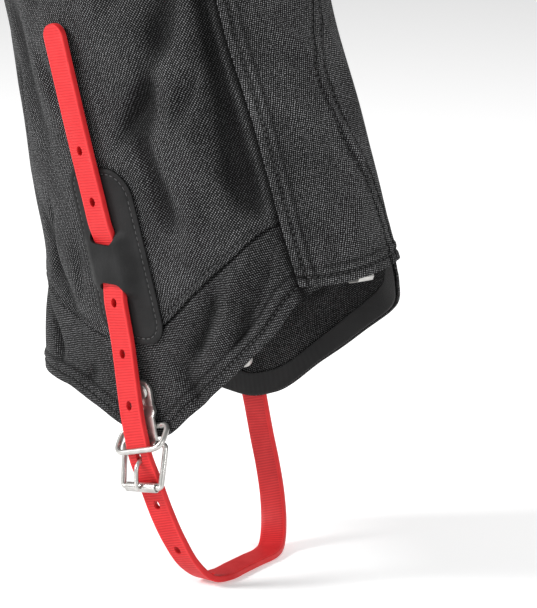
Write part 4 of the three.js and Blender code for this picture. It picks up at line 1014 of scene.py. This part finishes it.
def moulded_red():
    """Satin red rubber: even colour, with painted shade that darkens the moulded grooves, a faint bloom and
    handling marks.
    """
    finish = Finish("red strap rubber", **{"Specular_IOR_Level": 0.25})
    across, along, place = finish.cut()
    rib = (along * (2 * math.pi / RIB_PITCH)).cosine() * 0.5 + 0.5
    on_face = 1 - across.size().between(half - BORDER - 0.1 * MM, half - BORDER + 0.1 * MM)
    mottle = finish.noise(9 * MM, 3).between(0.3, 0.75)
    grain = finish.noise(0.4 * MM, 2)
    # Painted shade: the rubber's colour is darkened in the grooves between the ribs.
    groove = (1 - rib) * on_face * 0.62
    fresh = finish.colour(mottle, (0.66, 0.026, 0.028, 1), (0.58, 0.019, 0.022, 1))
    finish.shades(
        Base_Color=finish.colour(groove, fresh, (0.36, 0.004, 0.008, 1)),
        Roughness=0.42 + mottle * 0.08 + grain * 0.08,
    )
    finish.bumps(grain, 0.03 * MM)
    return finish.material


strap = laid_grid("instep_strap_moulding", 1408, len(section) - 1, place_strap)
select_only(strap)
bpy.ops.object.mode_set(mode="EDIT")
bpy.ops.mesh.select_all(action="SELECT")
bpy.ops.mesh.remove_doubles(threshold=1e-6)
bpy.ops.mesh.normals_make_consistent(inside=False)
bpy.ops.object.mode_set(mode="OBJECT")


def distance_at(height):
    outer = np.arange(len(strap_run)) > len(strap_run) // 2
    return float(np.interp(height, strap_line[outer, 2], strap_run[outer]))


PRONG_Z = 58.6 * MM
prong_hole = distance_at(PRONG_Z)
HOLE_SIZE = (3.3 * MM, 4.5 * MM)
hole_cutters = []
for number in range(10):
    centre, tangent, normal, sideways = (
        Vector(a) for a in strap_at(np.array(prong_hole + (number - 3) * HOLE_PITCH)))
    turned = Matrix((sideways, tangent, normal)).transposed().to_4x4()
    turned.translation = centre
    bpy.ops.object.select_all(action="DESELECT")
    bpy.ops.mesh.primitive_cylinder_add(vertices=36, radius=0.5, depth=8 * MM)
    hole_cutters.append(bpy.context.object)
    hole_cutters[-1].data.transform(turned @ Matrix.Diagonal((*HOLE_SIZE, 1, 1)))
cut_with(strap, hole_cutters)
select_only(strap)
bpy.ops.object.shade_smooth_by_angle(angle=math.radians(40))
strap.data.materials.clear()
strap.data.materials.append(moulded_red())
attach(strap, "gaiter")
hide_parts("instep_strap")

# ------------------------------------------------------------------ roller buckle, chape and keeper
# Nickel-plated steel: a wire frame bent round a heel bar, a tube that rolls on its lower bar, a wire prong with
# its eye on the heel bar, a wire keeper, and the stamped chape that is folded round the bar and riveted on.
def nickel(name, rough=0.27):
    """Plated steel: clean and bright, with soft handling marks and a little brown dirt where hands miss."""
    finish = Finish(name, Metallic=0.85)
    dull = finish.noise(7 * MM, 2).between(0.3, 0.75)
    scratches = finish.noise(2.4 * MM, 2, (1, 5, 1.5)).between(0.55, 0.75)
    grime = finish.noise(4 * MM, 2).between(0.6, 0.85)
    bright = finish.colour(dull, (0.60, 0.59, 0.57, 1), (0.44, 0.43, 0.41, 1))
    finish.shades(
        Base_Color=finish.colour(grime * 0.5, bright, (0.24, 0.21, 0.17, 1)),
        Roughness=dull * 0.08 + scratches * 0.08 + rough,
    )
    return finish.material


def bench_copy(node, name):
    """The node's shape as a new piece, with its loose triangles merged."""
    piece = bpy.data.objects.new(name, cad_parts[node].data.copy())
    piece.data.name = name
    scene.collection.objects.link(piece)
    select_only(piece)
    if piece.data.has_custom_normals:
        bpy.ops.mesh.customdata_custom_splitnormals_clear()
    bpy.ops.object.mode_set(mode="EDIT")
    bpy.ops.mesh.select_all(action="SELECT")
    bpy.ops.mesh.remove_doubles(threshold=1e-5)
    bpy.ops.object.mode_set(mode="OBJECT")
    return piece


def hand_over(piece, material, body, replaced, smooth=40):
    select_only(piece)
    bpy.ops.object.shade_smooth_by_angle(angle=math.radians(smooth))
    piece.data.materials.clear()
    piece.data.materials.append(material)
    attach(piece, body)
    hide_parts(*replaced)


def smooth_wire(node, name, material, body):
    """Bent wire: quads along its length, rounded by subdivision."""
    piece = bench_copy(node, name)
    bpy.ops.object.mode_set(mode="EDIT")
    bpy.ops.mesh.select_all(action="SELECT")
    bpy.ops.mesh.tris_convert_to_quads(face_threshold=math.radians(60), shape_threshold=math.radians(60))
    bpy.ops.object.mode_set(mode="OBJECT")
    modify(piece, "SUBSURF", levels=2, render_levels=2)
    modify(piece, "DISPLACE", strength=0.24 * MM, mid_level=0)
    hand_over(piece, material, body, [node], 180)
    return piece


def pressed_plate(node, name, material, body, round_over, segments=3):
    """Stamped, moulded or turned part: flat faces made whole again and every edge softened."""
    piece = bench_copy(node, name)
    bpy.ops.object.mode_set(mode="EDIT")
    bpy.ops.mesh.select_all(action="SELECT")
    bpy.ops.mesh.dissolve_limited(angle_limit=math.radians(1.5))
    bpy.ops.object.mode_set(mode="OBJECT")
    modify(piece, "BEVEL", width=round_over, segments=segments, limit_method="ANGLE",
        angle_limit=math.radians(28))
    hand_over(piece, material, body, [node])
    return piece


def swept_wire(name, points, radius):
    """A round wire through the points with its ends closed."""
    curve = bpy.data.curves.new(name, "CURVE")
    curve.dimensions, curve.bevel_depth, curve.bevel_resolution, curve.use_fill_caps = "3D", radius, 4, True
    line = curve.splines.new("POLY")
    line.points.add(len(points) - 1)
    for target, point in zip(line.points, points):
        target.co = (*point, 1)
    piece = bpy.data.objects.new(name, curve)
    scene.collection.objects.link(piece)
    select_only(piece)
    bpy.ops.object.convert(target="MESH")
    return piece


plated = nickel("plated steel")
smooth_wire("buckle_frame", "buckle_frame_wire", plated, "buckle_frame_body")
smooth_wire("keeper_ring", "keeper_ring_wire", plated, "keeper")
pressed_plate("buckle_roller", "buckle_roller_tube", plated, "roller", 0.3 * MM)
pressed_plate("chape", "chape_plate", plated, "gaiter", 0.4 * MM)

# The buckle's axes: x along the heel bar, y towards the leg and z up to the rivet, from the middle of the bar.
BAR_Z, BAR_X, CHAPE_RISE, BUCKLE_TILT = 65.5 * MM, -22.5 * MM, 24 * MM, math.radians(7)
rivet_z = BAR_Z + CHAPE_RISE * math.cos(BUCKLE_TILT)
rivet_x = BAR_X - CHAPE_RISE * math.sin(BUCKLE_TILT)
chape_frame = fabric_frame(angle_of_x(rivet_x, rivet_z), rivet_z)
bar_frame = fabric_frame(angle_of_x(BAR_X, BAR_Z), BAR_Z)
buckle_up = (chape_frame.translation - bar_frame.translation).normalized()
inward = -Vector(bar_frame.col[2][:3])
inward = (inward - buckle_up * inward.dot(buckle_up)).normalized()
buckle_frame = Matrix((inward.cross(buckle_up), inward, buckle_up)).transposed().to_4x4()
buckle_frame.translation = bar_frame.translation - inward * 3.8 * MM

prong_path = spline(np.array([
    (0, -1.9, -2.0), (0, -3.0, -4.9), (0, -4.6, -6.6), (0, -6.6, -7.4), (0, -8.6, -9.4), (0, -9.8, -13.6),
    (0, -10.25, -17.4), (0, -10.2, -19.4),
]) * MM, 8)
arm = swept_wire("buckle_prong_wire", prong_path, 1.1 * MM)
bpy.ops.object.select_all(action="DESELECT")
bpy.ops.mesh.primitive_torus_add(major_radius=2.25 * MM, minor_radius=0.72 * MM, major_segments=32,
    minor_segments=12)
eye = bpy.context.object
eye.data.transform(Matrix.Rotation(math.pi / 2, 4, "Y"))
arm.select_set(True)
bpy.context.view_layer.objects.active = arm
bpy.ops.object.join()
modify(arm, "REMESH", mode="VOXEL", voxel_size=0.22 * MM)
modify(arm, "SMOOTH", iterations=3, factor=0.5)
arm.data.transform(buckle_frame)
hand_over(arm, plated, "prong", ["buckle_prong"], 180)

# ------------------------------------------------------------------ rivets, burrs and lace hook
# Tubular rivets go through the cloth into burrs on its inside. The lace hook is a bent strip of the same plated
# steel under the front edge, which catches the boot's lowest lace.
for name in ("chape", "anchor", "lace_hook"):
    pressed_plate(f"{name}_rivet", f"{name}_rivet_head", plated, "gaiter", 0.18 * MM, 2)
    pressed_plate(f"{name}_burr", f"{name}_burr_ring", plated, "gaiter", 0.15 * MM, 2)
pressed_plate("lace_hook", "lace_hook_strip", plated, "gaiter", 0.35 * MM)

# ------------------------------------------------------------------ top cinch: webbing and cam buckle
# Webbing runs in the channel round the back of the top edge, comes out through a slot and goes forwards through
# a moulded cam buckle, whose lever nips it. A webbing tab sewn to the shaft holds the buckle.
webbing_finish = ribbed("cinch webbing", 1.6 * MM, 0.008, 0.05, bite=0.25)
tail = LAYER_GAP + 2 * (0.5 * MM + LAYER_GAP) + WEBBING / 2
in_buckle = 5 * MM
webbing_offset = through([
    (-304, tail / MM), (-287, tail / MM), (-279, in_buckle / MM), (-257, in_buckle / MM),
    (-252.5, WEBBING / MM),
    (-248, -FABRIC / 2 / MM), (-242, webbing_middle / MM), (-235, webbing_middle / MM),
    (-24, webbing_middle / MM),
])
place = on_leg(
    lambda z: -24 + 0 * z, lambda z: -304 + 0 * z,
    level(WEBBING_Z - WEBBING_WIDTH / 2), level(WEBBING_Z + WEBBING_WIDTH / 2),
    lambda a, z: webbing_offset(a)[..., 0] * MM + WEBBING / 2,
)
webbing = laid_grid("cinch_webbing_strip", 560, 12, place)
finished_cloth(webbing, WEBBING, webbing_finish, "gaiter", ["cinch_webbing"], 0.4)


def moulded_black(name):
    """Moulded acetal: near black, satin, with a fine spark texture and soft paler blotches."""
    finish = Finish(name, **{"Specular_IOR_Level": 0.4})
    spark = finish.noise(0.3 * MM, 3)
    flow = finish.noise(8 * MM, 2).between(0.3, 0.7)
    finish.shades(
        Base_Color=finish.colour(flow * 0.5 + spark * 0.5, grey(0.010), grey(0.022)),
        Roughness=spark * 0.15 + flow * 0.08 + 0.34,
    )
    finish.bumps(spark, 0.03 * MM)
    return finish.material


acetal = moulded_black("moulded acetal")
pressed_plate("cam_buckle_body", "cam_buckle_moulding", acetal, "gaiter", 0.35 * MM)
pressed_plate("cam_lever", "cam_lever_moulding", acetal, "lever", 0.35 * MM)
pressed_plate("cam_pin", "cam_pin_rod", plated, "gaiter", 0.2 * MM)


def plain_ribbed(name, pitch):
    """The same webbing where it is folded: ribs stand across its height."""
    finish = Finish(name, **{"Specular_IOR_Level": 0.25, "Sheen_Weight": 0.1})
    where = finish.node("ShaderNodeTexCoord", output=3)
    height = finish.node("ShaderNodeSeparateXYZ", sockets=[where], output=2)
    ribs = (height * (2 * math.pi / pitch)).sine() * 0.5 + 0.5
    wear = finish.noise(5 * MM, 3)
    finish.shades(
        Base_Color=finish.colour(ribs * (wear * 0.6 + 0.4), grey(0.008), grey(0.045)),
        Roughness=0.85 - ribs * 0.15)
    finish.bumps(ribs, 0.12 * MM)
    return finish.material


pressed_plate("cam_buckle_tab", "cam_buckle_tab_webbing", plain_ribbed("folded webbing", 0.9 * MM), "gaiter",
    0.18 * MM, 2)

# ------------------------------------------------------------------ stitching
# Bonded black thread, lockstitched: about nine stitches to the inch, each pulled a little into the cloth. Each
# seam has its own row or rows, and rides with the cloth that it is sewn through.
STITCH_PITCH = 2.8 * MM
STITCH_LENGTH = 2.15 * MM
THREAD = 0.62 * MM
bpy.ops.object.select_all(action="DESELECT")
bpy.ops.mesh.primitive_uv_sphere_add(segments=6, ring_count=5, radius=0.5)
bead = bpy.context.object
bead_points = np.array([vertex.co[:] for vertex in bead.data.vertices])
bead_points = bead_points[:, [2, 1, 0]] * (STITCH_LENGTH, THREAD, THREAD)
bead_faces = [tuple(reversed(face.vertices)) for face in bead.data.polygons]
bpy.data.objects.remove(bead)


def thread_finish():
    finish = Finish("bonded thread", **{"Specular_IOR_Level": 0.4, "Sheen_Weight": 0.1})
    ply = finish.noise(0.5 * MM, 2)
    finish.shades(Base_Color=finish.colour(ply, grey(0.02), grey(0.075)), Roughness=ply * 0.2 + 0.45)
    finish.bumps(ply, 0.05 * MM)
    return finish.material


thread_black = thread_finish()


def stitch_row(name, rows, body):
    """Lays one stitch after another along each row, given as points and outward directions."""
    all_points, all_faces = [], []
    for points, outs in rows:
        run = np.concatenate([[0], np.cumsum(np.linalg.norm(np.diff(points, axis=0), axis=1))])
        middles = np.arange(0.5, run[-1] / STITCH_PITCH) * STITCH_PITCH
        pick = lambda values, d: np.stack([np.interp(d, run, values[:, k]) for k in range(3)], -1)
        along = unit(pick(points, middles + 0.5 * STITCH_LENGTH) - pick(points, middles - 0.5 * STITCH_LENGTH))
        out = pick(outs, middles)
        out = unit(out - along * (out * along).sum(-1, keepdims=True))
        aside = np.cross(out, along)
        for centre, x, y, z in zip(pick(points, middles), along, aside, out):
            base = len(all_points) * len(bead_points)
            all_points.append(centre + bead_points @ np.array([x, y, z]))
            all_faces += [tuple(base + i for i in face) for face in bead_faces]
    mesh = bpy.data.meshes.new(name)
    mesh.from_pydata(np.vstack(all_points).tolist(), [], all_faces)
    piece = bpy.data.objects.new(name, mesh)
    scene.collection.objects.link(piece)
    select_only(piece)
    bpy.ops.object.mode_set(mode="EDIT")
    bpy.ops.mesh.select_all(action="SELECT")
    bpy.ops.mesh.normals_make_consistent(inside=False)
    bpy.ops.object.mode_set(mode="OBJECT")
    bpy.ops.object.shade_smooth()
    mesh.materials.append(thread_black)
    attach(piece, body)
    return piece


def row_on(angle, z, relief, sink=0.06 * MM):
    return skin(angle, z, relief(angle, z) - sink), outward(angle, z)


def above_edge(edge, side, distance, angles):
    """Heights of a line that keeps its distance above a sloping edge."""
    angles = side * angles
    z = edge(angles) + distance
    for _ in range(4):
        z = edge(angles) + distance / slope_factor(edge, angles, z)
    return angles, z


hem_rows_sewn, yoke_rows_sewn = [], []
for side, last in ((1, 34), (-1, 20)):
    angles = np.linspace(178.5, last, 500)
    hem_rows_sewn.append(row_on(*above_edge(hem_at, side, HEM_STITCH, angles), shell_relief))
    sewn = np.linspace(178.5, 46 if side > 0 else 27, 500)
    for stretch in (sewn > 126, sewn < 91) if side > 0 else (sewn > 0,):
        yoke_rows_sewn.append(row_on(*above_edge(yoke_at, side, YOKE_STITCH, sewn[stretch]), shell_relief))
stitch_row("hem_stitching", hem_rows_sewn, "gaiter")
stitch_row("yoke_stitching", yoke_rows_sewn, "gaiter")

heights = np.linspace(86 * MM, TOP - 3 * MM, 300)
rear_rows = [row_on(180 + np.degrees(d / leg_at(heights)[2]) * 1.0, heights,
    lambda a, z: drape(np.where(a > 180, a - 360, a), z))
             for d in (-4.6 * MM, 4.6 * MM)]
stitch_row("rear_seam_stitching", rear_rows, "gaiter")

channel_angles = np.linspace(-27, -178, 300)
stitch_row("channel_stitching", [
    row_on(channel_angles, level(TOP - CHANNEL + 2.5 * MM)(channel_angles), shell_relief),
    row_on(-channel_angles[::-1], level(TOP - CHANNEL + 2.5 * MM)(channel_angles), shell_relief),
], "gaiter")

flap_z = np.linspace(150 * MM, FLAP_TOP - 3 * MM, 500)
per_degree = round_leg(FLAP_FREE + 0 * flap_z, flap_z) - round_leg(FLAP_FREE - 1 + 0 * flap_z, flap_z)
edge_angle = FLAP_FREE - FLAP_STITCH / per_degree
bottom_angles = np.linspace(40.5, -11, 200)
stitch_row("flap_edge_stitching", [
    row_on(edge_angle, flap_z, flap_relief),
    row_on(bottom_angles, flap_bottom(bottom_angles) + FLAP_STITCH, flap_relief),
], "flap")
quilt_z = np.linspace(157 * MM, FLAP_TOP - 3 * MM, 500)
stitch_row("flap_quilt_stitching", [
    row_on(angle_of_y(quilt_line(quilt_z, which), quilt_z), quilt_z, flap_relief) for which in (0, 1)
], "flap")
stitch_row("flap_seam_stitching", [
    row_on(angle_of_y(HINGE_SIDE + 3.6 * MM, quilt_z), quilt_z, lambda a, z: LAYER_GAP + 0.6 * MM + 0 * z)
], "gaiter")


def outline(half_x, half_z, corner, inset):
    """Points round a rounded rectangle about the origin, inset from its edge."""
    x, z, r = half_x - inset, half_z - inset, corner - inset
    turns = np.radians(np.arange(0, 91, 6))
    quarter = [((x - r) * sx + r * math.cos(t + a), (z - r) * sz + r * math.sin(t + a))
               for sx, sz, a in ((1, 1, 0), (-1, 1, math.pi / 2), (-1, -1, math.pi), (1, -1, 1.5 * math.pi))
               for t in turns]
    return np.array(quarter + quarter[:1])


ring = outline(PATCH_HALF, (patch_high - patch_low) / 2, PATCH_CORNER, PATCH_STITCH)
ring_z = ring[:, 1] + (patch_low + patch_high) / 2
ring_x = ring[:, 0] + patch_middle(ring_z)
fine = np.linspace(0, len(ring) - 1, 600)
ring_x, ring_z = (np.interp(fine, np.arange(len(ring)), values) for values in (ring_x, ring_z))
ring_angle = angle_of_x(ring_x, ring_z)
patch_row = (skin(ring_angle, ring_z, patch_relief(ring_x, ring_z) - 0.06 * MM), outward(ring_angle, ring_z))
stitch_row("patch_stitching", [patch_row], "gaiter")
ring = outline(13 * MM, 15 * MM, 6 * MM, 2.2 * MM)
ring_x, ring_z = ring[:, 0] + ANCHOR_X + MM, ring[:, 1] + 85 * MM
ring_angle = -angle_of_x(ring_x, ring_z)
stitch_row("anchor_stitching", [
    (skin(ring_angle, ring_z, LAYER_GAP + 0.65 * MM + 0 * ring_z), outward(ring_angle, ring_z))
], "gaiter")
